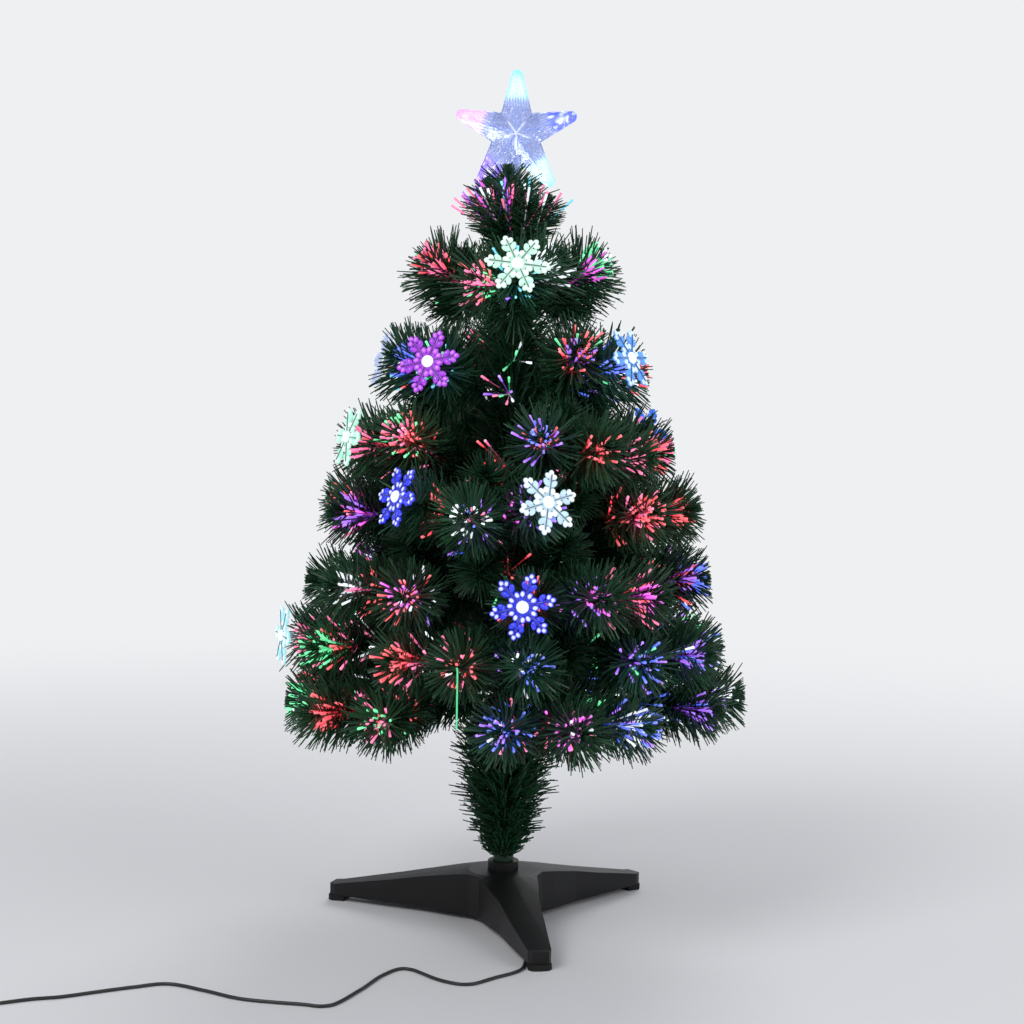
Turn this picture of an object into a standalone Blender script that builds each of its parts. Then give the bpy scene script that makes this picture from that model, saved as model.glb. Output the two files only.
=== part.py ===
"""Light-up tabletop Christmas tree on a tripod stand, with its plug-in lead.

Metres, +Z up, the front towards -Y, the origin on the floor under the trunk.
"""
import math

import bmesh
import bpy
from mathutils import Matrix, Vector

# Overall sizes
TREE_HEIGHT = 0.900
LIMB_REACH = 0.232
RUN_GAP = 0.0003
CUT_OVERRUN = 0.003

# Stand
LEG_ANGLES = (41.4, 161.4, 281.4)
LEG_REACH = 0.198
LEG_ROOT_WIDTH = 0.056
LEG_MID_WIDTH = 0.036
LEG_FOOT_WIDTH = 0.024
HUB_RADIUS = 0.046
HUB_HEIGHT = 0.052
LEG_FOOT_HEIGHT = 0.019
STAND_CLEARANCE = 0.0065
STAND_WALL = 0.0028
NECK_RADIUS = 0.0165
NECK_HEIGHT = 0.062
SOCKET_FLOOR = 0.024
SOCKET_FLOOR_WALL = 0.003
LIGHT_HOLE_RADIUS = 0.0075
PAD_LENGTH = 0.017
PAD_LIP = 0.003

# Lamp, board and cover inside the hub
LAMP_RADIUS = 0.017
LAMP_HEIGHT = 0.0075
BOARD_RADIUS = 0.026
BOARD_THICKNESS = 0.0016
COVER_RADIUS = 0.031
COVER_THICKNESS = 0.0022
COVER_HEIGHT = 0.0042
POST_RADIUS = 0.0022

# Trunk pole and the fibres inside it
POLE_RADIUS = 0.011
POLE_WALL = 0.002
COLLAR_RADIUS = 0.0215
COLLAR_HEIGHT = 0.0105
HINGE_RADIUS = 0.018
KNUCKLE_RADIUS = 0.003
KNUCKLE_LENGTH = 0.0075

# Needles
BRUSH_RADIUS = 0.031
NEEDLE_LENGTH = 0.030
NEEDLE_BASE = 0.0032
NEEDLE_PROUD = 0.014
GARLAND_FOOT_GAP = 0.0045
GARLAND_TOP_DROP = 0.0299
GARLAND_ROOT_RADIUS = 0.017
GARLAND_TOP_RADIUS = 0.040
GARLAND_NEEDLES = 54
CROWN_RADIUS = 0.030
CROWN_HEIGHT = 0.0837
CROWN_STAR_DROP = 0.038
CROWN_NEEDLES = 54

# Star
STAR_RADIUS = 0.066
STAR_NOTCH_RADIUS = 0.027
STAR_TIP_RADIUS = 0.0058
STAR_EDGE_DEPTH = 0.0036
STAR_RIDGE_DEPTH = 0.0095
STAR_WALL = 0.0016
SOCKET_RADIUS = 0.0062
SPIGOT_RADIUS = 0.0034
SOCKET_DROP = 0.016
HARNESS_WIDTH = 0.0026
HARNESS_DEPTH = 0.0016
STAR_LED_RADIUS = 0.0024
STAR_LED_SHARE = 0.66

# Snowflakes
FLAKE_RADIUS = 0.034
FLAKE_DEPTH = 0.0036
FLAKE_BOSS_RADIUS = 0.0035
FLAKE_BOSS_LENGTH = 0.010
FLAKE_LED_RADIUS = 0.0062
FLAKE_LED_DEPTH = 0.004

# Lead, coil and plug-in adapter
CORD_RADIUS = 0.0017
COIL_RADIUS = 0.019
COIL_TURNS = 6
COIL_LAYERS = 2
COIL_STEP = 0.0042
GROMMET_RADIUS = 0.0042
GROMMET_LENGTH = 0.011
ADAPTER_SIZE = (0.062, 0.038, 0.028)
PIN_SIZE = (0.0165, 0.0062, 0.0015)
PIN_SPACING = 0.0127
TIE_WIDTH = 0.004
TIE_WALL = 0.001
TAIL_LENGTH = 0.040

# Each tier of limbs: name, hinge height as a share of the tree's height, reach as a share of the longest
TIER_SHARES = (
    ("t1", 0.261, 1.000), ("t2", 0.322, 0.957), ("t3", 0.381, 0.914), ("t4", 0.457, 0.797),
    ("t5", 0.530, 0.730), ("t6", 0.619, 0.582), ("t7", 0.724, 0.430),
)

# The same tiers in degrees: rise when open and when folded, splay of the side tips, compass angles
TIER_ANGLES = (
    (2, 30, 20, (216, 288, 0, 72, 144)),
    (4, 34, 20, (186, 258, 330, 42, 114)),
    (8, 40, 22, (296, 218, 28, 120)),
    (12, 43, 24, (257, 347, 77, 167)),
    (14, 48, 22, (204, 303, 33, 123)),
    (20, 54, 21, (210, 326, 86)),
    (26, 54, 24, (272, 32, 152)),
)

# How far a limb's two side tips end above or below its plane, as shares of their length, tier by tier
TIER_LIFT_SHARES = (
    (0.00, 0.00), (0.00, 0.00), (0.00, 0.00), (0.06, -0.04), (0.15, -0.08), (0.26, -0.12), (0.32, -0.12),
)
TIERS = tuple(shares + angles + (lifts,)
              for shares, angles, lifts in zip(TIER_SHARES, TIER_ANGLES, TIER_LIFT_SHARES))

# Brush outline along a main and a side tip: share of its length, share of the brush radius
TIP_SHARES = ((0.0, 0.08), (0.34, 0.34), (0.72, 0.84), (0.93, 1.00), (1.00, 0.62))
SIDE_SHARES = ((0.0, 0.22), (0.60, 0.80), (0.92, 1.00), (1.00, 0.62))
FORK_SHARE = 0.36
SIDE_REACH_SHARE = 0.93

# Where a leg changes width: shares of its reach
LEG_STATION_SHARES = (0.45, 0.65, 0.965)

# Profiles of the trunk's sleeve and of the crown: share of the radius, share of the height
GARLAND_FOOT_SHARES = ((0.72, 0.0), (1.0, 0.12))
GARLAND_BODY_SHARES = ((0.8, 0.45), (1.0, 0.8), (0.7, 1.0))
CROWN_SHARES = ((0.5, 0.0), (0.9, 0.3), (1.0, 0.55), (0.62, 0.82))
SPIGOT_FOOT_SHARE = 0.86

# Half of a snowflake's arm: share of the radius along it, share of the radius that is half its width
FLAKE_ARM_SHARES = ((0.30, 0.16), (0.46, 0.06), (0.62, 0.21), (0.75, 0.08), (0.86, 0.19), (1.00, 0.07))

# Snowflakes: name, limb, which tip carries it (0 main, 1 left side, -1 right side), and that tip's lift as
# a share of its length
FLAKE_TIP_SHARES = (
    ("snowflake_1", "t7", 0, 0, 0.0),
    ("snowflake_2", "t6", 0, 1, 0.0),
    ("snowflake_3", "t6", 1, 0, 0.0),
    ("snowflake_4", "t5", 0, 0, 0.0),
    ("snowflake_5", "t4", 0, -1, 0.17),
    ("snowflake_6", "t4", 0, 1, 0.17),
    ("snowflake_7", "t3", 0, -1, -0.03),
    ("snowflake_8", "t2", 0, 0, 0.0),
    ("snowflake_9", "t6", 0, -1, 0.0),
    ("snowflake_10", "t5", 2, 0, 0.0),
    ("snowflake_11", "t3", 3, 0, 0.0),
)

# The lead's route over the floor, chosen by hand: x, y
CORD_ROUTE = (
    (0.0100, -0.0550), (0.0182, -0.0900), (0.0245, -0.1250), (0.0262, -0.1500), (0.0235, -0.1750),
    (0.0205, -0.1950), (0.0110, -0.2090), (-0.0045, -0.2230), (-0.0313, -0.2470), (-0.0589, -0.2350),
    (-0.0930, -0.2000), (-0.1149, -0.2223), (-0.1338, -0.2707), (-0.1580, -0.3180), (-0.1864, -0.3158),
    (-0.2410, -0.3041), (-0.2779, -0.2821), (-0.3171, -0.2620), (-0.3494, -0.2740), (-0.3800, -0.2900),
    (-0.4110, -0.3070), (-0.4359, -0.3150), (-0.4628, -0.3286), (-0.4850, -0.3420), (-0.5050, -0.3520),
)


def clear_scene():
    for item in list(bpy.data.objects):
        bpy.data.objects.remove(item, do_unlink=True)


def finish(name, colour, roughness, metallic=0.0, alpha=1.0):
    material = bpy.data.materials.new(name)
    material.use_nodes = True
    shader = material.node_tree.nodes["Principled BSDF"]
    shader.inputs["Base Color"].default_value = (*colour, 1.0)
    shader.inputs["Roughness"].default_value = roughness
    shader.inputs["Metallic"].default_value = metallic
    shader.inputs["Alpha"].default_value = alpha
    return material


def mesh_of(bm, name):
    bmesh.ops.remove_doubles(bm, verts=bm.verts, dist=RUN_GAP / 30)
    bmesh.ops.recalc_face_normals(bm, faces=bm.faces)
    mesh = bpy.data.meshes.new(name)
    bm.to_mesh(mesh)
    bm.free()
    return mesh


def place(name, mesh, material, location=(0, 0, 0), turn=0.0, parent=None):
    item = bpy.data.objects.new(name, mesh)
    bpy.context.collection.objects.link(item)
    if not mesh.materials:
        mesh.materials.append(material)
    item.location = location
    item.rotation_euler = (0, 0, turn)
    item.parent = parent
    return item


def axis_empty(name, location):
    """An empty on a joint's axis, which carries the moving pieces."""
    item = bpy.data.objects.new(name, None)
    bpy.context.collection.objects.link(item)
    item.location = location
    return item


def boolean(mesh, tool, operation):
    """The mesh united with, or cut by, the tool mesh, both in the same frame."""
    body = bpy.data.objects.new("body", mesh)
    other = bpy.data.objects.new("tool", tool)
    bpy.context.collection.objects.link(body)
    bpy.context.collection.objects.link(other)
    change = body.modifiers.new("change", "BOOLEAN")
    change.operation = operation
    change.solver = "EXACT"
    change.object = other
    bpy.context.view_layer.update()
    changed = body.evaluated_get(bpy.context.evaluated_depsgraph_get())
    result = bpy.data.meshes.new_from_object(changed)
    bpy.data.objects.remove(body)
    bpy.data.objects.remove(other)
    return result


def turned(profile, segments, name="turned"):
    """A solid of revolution about Z from (radius, height) points, closed or ending on the axis."""
    bm = bmesh.new()
    verts = [bm.verts.new((radius, 0, height)) for radius, height in profile]
    edges = [bm.edges.new(pair) for pair in zip(verts, verts[1:])]
    if profile[0][0] > 0:
        edges.append(bm.edges.new((verts[-1], verts[0])))
    bmesh.ops.spin(bm, geom=verts + edges, cent=(0, 0, 0), axis=(0, 0, 1), angle=math.tau,
                   steps=segments, use_merge=True, use_duplicate=False)
    bmesh.ops.remove_doubles(bm, verts=bm.verts, dist=RUN_GAP / 30)
    return mesh_of(bm, name)


def prism(outline, low, high, name="prism"):
    """A flat outline of (x, y) points made solid between two heights."""
    bm = bmesh.new()
    base = bm.faces.new([bm.verts.new((x, y, low)) for x, y in outline])
    grown = bmesh.ops.extrude_face_region(bm, geom=[base])["geom"]
    raised = [item for item in grown if isinstance(item, bmesh.types.BMVert)]
    bmesh.ops.translate(bm, verts=raised, vec=(0, 0, high - low))
    return mesh_of(bm, name)


def rod(start, end, radius, sides, end_radius=None, name="rod"):
    """A straight bar between two points."""
    start, end = Vector(start), Vector(end)
    return loft(start, end, ((0.0, radius), (1.0, radius if end_radius is None else end_radius)), sides, name)


def loft(start, end, stations, sides, name="loft"):
    """Rings of the given radii at shares of the way from start to end, bridged and closed."""
    run = end - start
    aim = run.to_track_quat("Z", "Y").to_matrix().to_4x4()
    bm = bmesh.new()
    rings = []
    for share, radius in stations:
        spot = Matrix.Translation(start + run * share) @ aim
        made = bmesh.ops.create_circle(bm, segments=sides, radius=radius, matrix=spot)
        rings.append(made["verts"])
    for low, high in zip(rings, rings[1:]):
        for here in range(sides):
            there = (here + 1) % sides
            bm.faces.new((low[here], low[there], high[there], high[here]))
    bm.faces.new(rings[0][::-1])
    bm.faces.new(rings[-1])
    return mesh_of(bm, name)


def spikes(needles, name="spikes"):
    """Three-sided needles, each from a root point along a direction to its point."""
    bm = bmesh.new()
    for root, tip, base in needles:
        run = Vector(tip) - Vector(root)
        middle = Vector(root) + run / 2
        aim = run.to_track_quat("Z", "Y").to_matrix().to_4x4()
        bmesh.ops.create_cone(bm, cap_ends=True, segments=3, radius1=base / 2, radius2=0,
                              depth=run.length, matrix=Matrix.Translation(middle) @ aim)
    return mesh_of(bm, name)


def box(size, centre, name="box"):
    bm = bmesh.new()
    bmesh.ops.create_cube(bm, size=1, matrix=Matrix.Translation(centre) @ Matrix.Diagonal((*size, 1)))
    return mesh_of(bm, name)


def polar(radius, degrees):
    return Vector((radius * math.cos(math.radians(degrees)), radius * math.sin(math.radians(degrees)), 0))


# Stand
def tripod_outline(inset):
    """The stand seen from above: three tapering legs that run into the hub with hollow corners."""
    points = []
    near_share, mid_share, foot_share = LEG_STATION_SHARES
    for azimuth in LEG_ANGLES:
        stations = (
            (HUB_RADIUS * 0.62, LEG_ROOT_WIDTH / 2 + HUB_RADIUS * 0.07),
            (HUB_RADIUS * 1.1, LEG_ROOT_WIDTH / 2),
            (LEG_REACH * near_share, LEG_MID_WIDTH / 2 + LEG_FOOT_WIDTH * 0.12),
            (LEG_REACH * mid_share, LEG_MID_WIDTH / 2),
            (LEG_REACH * foot_share, LEG_FOOT_WIDTH / 2),
            (LEG_REACH, LEG_FOOT_WIDTH * 0.36),
        )
        shorter = [(along - (inset if along > LEG_REACH * 0.9 else 0), half) for along, half in stations]
        sides = [(along, half - inset) for along, half in shorter]
        right = [(along, -half) for along, half in sides]
        left = [(along, half) for along, half in reversed(sides)]
        turn = Matrix.Rotation(math.radians(azimuth), 2)
        points += [tuple(turn @ Vector(point)) for point in right + left]
    return points


def stand_roof(drop):
    """The sloping top of hub and legs as a solid of revolution."""
    low = STAND_CLEARANCE - (CUT_OVERRUN if drop else 0)
    wide = LEG_REACH + LEG_FOOT_WIDTH
    top = HUB_HEIGHT - drop
    foot = LEG_FOOT_HEIGHT - drop
    profile = (
        (0, low), (wide, low), (wide, foot), (LEG_REACH * 0.97, foot),
        (LEG_REACH * 0.62, foot + (top - foot) * 0.42), (HUB_RADIUS * 1.25, top - (top - foot) * 0.14),
        (HUB_RADIUS * 0.8, top), (0, top),
    )
    return turned(profile, 24)


def make_stand():
    tall = HUB_HEIGHT + CUT_OVERRUN
    shell = boolean(stand_roof(0), prism(tripod_outline(0), 0, tall), "INTERSECT")
    inner = prism(tripod_outline(STAND_WALL), -CUT_OVERRUN, tall)
    hollow = boolean(stand_roof(STAND_WALL), inner, "INTERSECT")
    shell = boolean(shell, hollow, "DIFFERENCE")
    bore = POLE_RADIUS + RUN_GAP
    under = SOCKET_FLOOR - SOCKET_FLOOR_WALL
    socket = turned((
        (LIGHT_HOLE_RADIUS, under), (NECK_RADIUS, under), (NECK_RADIUS, NECK_HEIGHT),
        (bore, NECK_HEIGHT), (bore, SOCKET_FLOOR), (LIGHT_HOLE_RADIUS, SOCKET_FLOOR),
    ), 24)
    middle = (bore + NECK_RADIUS) / 2
    opening = rod((0, 0, SOCKET_FLOOR + STAND_WALL), (0, 0, NECK_HEIGHT + CUT_OVERRUN), middle, 24)
    shell = boolean(shell, opening, "DIFFERENCE")
    shell = boolean(shell, socket, "UNION")
    return place("stand", shell, finish("stand_black", (0.012, 0.012, 0.014), 0.45))


def make_foot_pads():
    rubber = finish("pad_rubber", (0.02, 0.02, 0.022), 0.75)
    half = LEG_FOOT_WIDTH / 2
    heel = LEG_REACH - PAD_LENGTH
    toe = LEG_REACH + PAD_LIP
    round_off = LEG_REACH + PAD_LIP * 0.6
    outline = (
        (heel, -half * 0.86), (LEG_REACH - PAD_LIP, -half), (round_off, -half * 0.7), (toe, 0),
        (round_off, half * 0.7), (LEG_REACH - PAD_LIP, half), (heel, half * 0.86),
    )
    plug_half = half - STAND_WALL * 1.6
    plug_far = LEG_REACH - STAND_WALL * 3
    plug = ((heel, -plug_half), (plug_far, -plug_half), (plug_far, plug_half), (heel, plug_half))
    sole = prism(outline, 0, STAND_CLEARANCE - RUN_GAP)
    stub = prism(plug, STAND_CLEARANCE / 2, STAND_CLEARANCE + STAND_WALL)
    mesh = boolean(sole, stub, "UNION")
    for number, azimuth in enumerate(LEG_ANGLES, 1):
        place(f"foot_pad_{number}", mesh, rubber, turn=math.radians(azimuth))


def make_hub_fittings():
    lamp_top = SOCKET_FLOOR - SOCKET_FLOOR_WALL - RUN_GAP
    board_top = lamp_top - LAMP_HEIGHT - RUN_GAP
    lamp_low = board_top + RUN_GAP
    lamp = turned((
        (0, lamp_low), (LAMP_RADIUS, lamp_low), (LAMP_RADIUS, lamp_top - LAMP_HEIGHT * 0.4),
        (LAMP_RADIUS * 0.7, lamp_top), (0, lamp_top),
    ), 16)
    place("light_module", lamp, finish("lamp_lens", (0.9, 0.9, 0.95), 0.2))
    board = rod((0, 0, board_top - BOARD_THICKNESS), (0, 0, board_top), BOARD_RADIUS, 16)
    place("control_board", board, finish("board_green", (0.02, 0.16, 0.06), 0.5))
    post_top = board_top - BOARD_THICKNESS - RUN_GAP
    cover = rod((0, 0, COVER_HEIGHT - COVER_THICKNESS), (0, 0, COVER_HEIGHT), COVER_RADIUS, 20)
    for azimuth in LEG_ANGLES:
        spot = polar(BOARD_RADIUS * 0.8, azimuth + 60)
        foot = spot + Vector((0, 0, COVER_HEIGHT - COVER_THICKNESS / 2))
        cover = boolean(cover, rod(foot, spot + Vector((0, 0, post_top)), POST_RADIUS, 6), "UNION")
    place("base_cover", cover, finish("cover_black", (0.015, 0.015, 0.017), 0.6))


# Trunk
def tier_height(tier):
    return TREE_HEIGHT * tier[1]


def crown_top():
    return star_centre() - CROWN_STAR_DROP


def pole_top():
    return crown_top() - CROWN_HEIGHT - RUN_GAP


def make_trunk():
    bottom = SOCKET_FLOOR + RUN_GAP
    bore = POLE_RADIUS - POLE_WALL
    top = pole_top()
    pole = turned(((POLE_RADIUS, bottom), (POLE_RADIUS, top), (bore, top), (bore, bottom)), 12)
    floor = KNUCKLE_RADIUS + RUN_GAP
    for tier in TIERS:
        height = tier_height(tier)
        low = height - COLLAR_HEIGHT * 0.6
        high = height + COLLAR_HEIGHT * 0.4
        inner = POLE_RADIUS - POLE_WALL / 2
        collar = turned(((inner, low), (COLLAR_RADIUS, low), (COLLAR_RADIUS, high), (inner, high)), 12)
        for azimuth in tier[6]:
            inside = HINGE_RADIUS - floor
            outside = COLLAR_RADIUS + CUT_OVERRUN
            width = KNUCKLE_LENGTH + 2 * RUN_GAP
            slot_top = high + CUT_OVERRUN
            slot = box((outside - inside, width, slot_top - height + floor),
                       ((inside + outside) / 2, 0, (height - floor + slot_top) / 2))
            slot.transform(Matrix.Rotation(math.radians(azimuth), 4, "Z"))
            collar = boolean(collar, slot, "DIFFERENCE")
        pole = boolean(pole, collar, "UNION")
    trunk = axis_empty("trunk_lift_axis", (0, 0, 0))
    place("trunk_pole", pole, finish("pole_green", (0.02, 0.06, 0.03), 0.5), parent=trunk)
    bundle = rod((0, 0, bottom + RUN_GAP), (0, 0, top - RUN_GAP), bore - RUN_GAP, 12)
    place("fibre_bundle", bundle, finish("fibre", (0.8, 0.85, 0.9), 0.15), parent=trunk)
    return trunk


def make_garland(trunk):
    bore = POLE_RADIUS + RUN_GAP
    low = NECK_HEIGHT + GARLAND_FOOT_GAP
    high = tier_height(TIERS[0]) - GARLAND_TOP_DROP
    rise = high - low
    outer = [(GARLAND_ROOT_RADIUS * share, low + rise * along) for share, along in GARLAND_FOOT_SHARES]
    outer += [(GARLAND_TOP_RADIUS * share, low + rise * along) for share, along in GARLAND_BODY_SHARES]
    sleeve = turned([(bore, low)] + outer + [(bore, high)], 12)
    needles = []
    for count in range(GARLAND_NEEDLES):
        along = 0.14 + 0.72 * (count + 0.5) / GARLAND_NEEDLES
        swell = min(1.0, 0.1 + 1.15 * along)
        radius = GARLAND_ROOT_RADIUS + (GARLAND_TOP_RADIUS - GARLAND_ROOT_RADIUS) * swell
        out = polar(1, count * 137.5)
        root = out * (radius * 0.72) + Vector((0, 0, low + rise * along))
        lean = out + Vector((0, 0, 0.15 + 0.35 * (count % 3) / 2))
        needles.append((root, root + lean.normalized() * NEEDLE_LENGTH * 0.8, NEEDLE_BASE * 0.9))
    place("trunk_garland", boolean(sleeve, spikes(needles), "UNION"), NEEDLE_GREEN, parent=trunk)


def make_crown(trunk):
    low = pole_top() + RUN_GAP
    rise = CROWN_HEIGHT
    spigot = star_socket_low() + SOCKET_DROP - SPIGOT_RADIUS
    spigot_radius = SPIGOT_RADIUS - RUN_GAP
    outer = [(CROWN_RADIUS * share, low + rise * along) for share, along in CROWN_SHARES]
    neck = [(spigot_radius, low + rise * SPIGOT_FOOT_SHARE), (spigot_radius, spigot), (0, spigot)]
    profile = [(0, low)] + outer + neck
    core = turned(profile, 12)
    leg = (STAR_RADIUS - STAR_TIP_RADIUS) * math.cos(math.radians(36)) + STAR_TIP_RADIUS
    star_leg_low = star_centre() - leg
    needles = []
    for count in range(CROWN_NEEDLES):
        share = (count + 0.5) / CROWN_NEEDLES
        out = polar(1, count * 137.5 + 20)
        level = low + rise * (0.3 + 0.48 * share)
        root = out * (CROWN_RADIUS * (0.74 - 0.34 * share)) + Vector((0, 0, level))
        lean = out * (1.0 - 0.25 * share) + Vector((0, 0, 0.55 + 0.3 * share))
        point = root + lean.normalized() * NEEDLE_LENGTH * 0.86
        star_slot = STAR_RIDGE_DEPTH + NEEDLE_BASE
        if point.z > star_leg_low - NEEDLE_BASE and abs(point.y) < star_slot:
            continue
        needles.append((root, point, NEEDLE_BASE * 0.9))
    place("crown", boolean(core, spikes(needles), "UNION"), NEEDLE_GREEN, parent=trunk)


# Limbs
def tip_ends(tier, which, lift=0.0):
    """A tip's start and end on a level limb along +X from its hinge, a side tip with its lift."""
    reach = LIMB_REACH * tier[2]
    fork = Vector((reach * FORK_SHARE, 0, 0))
    if which == 0:
        return Vector((0, 0, 0)), Vector((reach, 0, 0))
    end = polar(HINGE_RADIUS + reach * SIDE_REACH_SHARE, tier[5] * which) - Vector((HINGE_RADIUS, 0, 0))
    end.z = (end - fork).length * lift
    return fork, end


def brush_radius(tier):
    return BRUSH_RADIUS * (0.62 + 0.38 * tier[2])


def limb_mesh(tier, flake_lifts, high_side):
    """A limb of a knuckle, a main tip and two side tips, with needles at each end that has no snowflake."""
    radius = brush_radius(tier)
    proud = NEEDLE_PROUD * (0.6 + 0.4 * tier[2])
    whole = None
    needles = []
    for which in (0, 1, -1):
        lift = tier[7][0 if which == high_side else 1]
        start, end = tip_ends(tier, which, flake_lifts.get(which, lift))
        run = (end - start).normalized()
        core_end = end - run * proud
        shares = SIDE_SHARES if which else TIP_SHARES
        brush = loft(start, core_end, [(along, radius * share) for along, share in shares], 6)
        whole = brush if whole is None else boolean(whole, brush, "UNION")
        across = run.orthogonal().normalized()
        for count in range(0 if which in flake_lifts else 3):
            out = Matrix.Rotation(math.radians(120 * count + 50 * which), 3, run) @ across
            root = core_end - run * proud * 0.5 + out * radius * 0.52
            needles.append((root, end + out * radius * 0.8, NEEDLE_BASE))
    knuckle = rod((0, -KNUCKLE_LENGTH / 2, 0), (0, KNUCKLE_LENGTH / 2, 0), KNUCKLE_RADIUS, 6)
    whole = boolean(whole, knuckle, "UNION")
    whole = boolean(whole, spikes(needles), "UNION")
    whole.transform(Matrix.Rotation(-math.radians(tier[3]), 4, "Y"))
    return whole


def make_limbs(trunk):
    for tier in TIERS:
        shared = {}
        for number, azimuth in enumerate(tier[6], 1):
            here = [flake for flake in FLAKE_TIP_SHARES if flake[1:3] == (tier[0], number - 1)]
            high_side = 1 if number % 2 else -1
            kind = (tuple(here), high_side)
            if kind not in shared:
                shared[kind] = limb_mesh(tier, {flake[3]: flake[4] for flake in here}, high_side)
            mesh = shared[kind]
            hinge = polar(HINGE_RADIUS, azimuth) + Vector((0, 0, tier_height(tier)))
            place(f"branch_{tier[0]}_{number}", mesh, NEEDLE_GREEN, hinge, math.radians(azimuth), trunk)


# Snowflakes
def flake_mesh():
    """A six-armed moulded plate lying in XY, with beaded arms, a lamp on top and a clip post below."""
    outline = []
    for number in range(6):
        turn = Matrix.Rotation(math.radians(60 * number), 2)
        right = [(along, -half) for along, half in FLAKE_ARM_SHARES]
        left = [(along, half) for along, half in reversed(FLAKE_ARM_SHARES)]
        outline += [tuple(turn @ (Vector(point) * FLAKE_RADIUS)) for point in right + left]
    plate = prism(outline, -FLAKE_DEPTH / 2, FLAKE_DEPTH / 2)
    lamp_top = FLAKE_DEPTH / 2 + FLAKE_LED_DEPTH
    lamp = rod((0, 0, 0), (0, 0, lamp_top), FLAKE_LED_RADIUS, 6, FLAKE_LED_RADIUS * 0.7)
    post = rod((0, 0, -FLAKE_DEPTH / 2 - FLAKE_BOSS_LENGTH), (0, 0, 0), FLAKE_BOSS_RADIUS, 4)
    return boolean(boolean(plate, lamp, "UNION"), post, "UNION")


def make_flakes(trunk):
    mesh = flake_mesh()
    plastic = finish("flake_clear", (0.85, 0.9, 1.0), 0.25, alpha=0.9)
    tiers = {tier[0]: tier for tier in TIERS}
    for name, tier_name, number, which, lift in FLAKE_TIP_SHARES:
        tier = tiers[tier_name]
        hinge = polar(HINGE_RADIUS, tier[6][number]) + Vector((0, 0, tier_height(tier)))
        rise = Matrix.Rotation(-math.radians(tier[3]), 3, "Y")
        swing = Matrix.Rotation(math.radians(tier[6][number]), 3, "Z")
        start, end = tip_ends(tier, which, lift)
        run = (end - start).normalized()
        proud = NEEDLE_PROUD * (0.6 + 0.4 * tier[2])
        centre = end - run * proud + run * (RUN_GAP + FLAKE_BOSS_LENGTH + FLAKE_DEPTH / 2)
        aim = swing @ rise
        item = place(name, mesh, plastic, hinge + aim @ centre, parent=trunk)
        item.rotation_euler = (aim @ run).to_track_quat("Z", "Y").to_euler()


# Star
def star_centre():
    return TREE_HEIGHT - STAR_RADIUS


def star_socket_low():
    return star_centre() - STAR_NOTCH_RADIUS - SOCKET_DROP


def star_points(radius, notch, tip):
    """The star's outline: five notches, and five arms with rounded ends."""
    points = []
    for number in range(5):
        arm = math.radians(90 + 72 * number)
        for lean in (-65, 0, 65):
            angle = arm + math.radians(lean)
            points.append(Vector(((radius - tip) * math.cos(arm) + tip * math.cos(angle), 0,
                                  (radius - tip) * math.sin(arm) + tip * math.sin(angle))))
        angle = arm + math.radians(36)
        points.append(Vector((notch * math.cos(angle), 0, notch * math.sin(angle))))
    return points


def star_half(inset, side):
    """Half of the star on one side of its middle plane, as a closed solid about its own centre."""
    bm = bmesh.new()
    edge = side * (STAR_EDGE_DEPTH - inset)
    ridge = side * (STAR_RIDGE_DEPTH - inset)
    base = side * RUN_GAP / 2 if not inset else -side * CUT_OVERRUN
    rim = star_points(STAR_RADIUS - inset * 2.6, STAR_NOTCH_RADIUS - inset, STAR_TIP_RADIUS - inset)
    low = [bm.verts.new(point + Vector((0, base, 0))) for point in rim]
    high = [bm.verts.new(point + Vector((0, edge, 0))) for point in rim]
    peak = bm.verts.new((0, ridge, 0))
    bm.faces.new(low)
    for here in range(len(rim)):
        there = (here + 1) % len(rim)
        bm.faces.new((low[here], low[there], high[there], high[here]))
        bm.faces.new((high[here], high[there], peak))
    return mesh_of(bm, "star_half")


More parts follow.
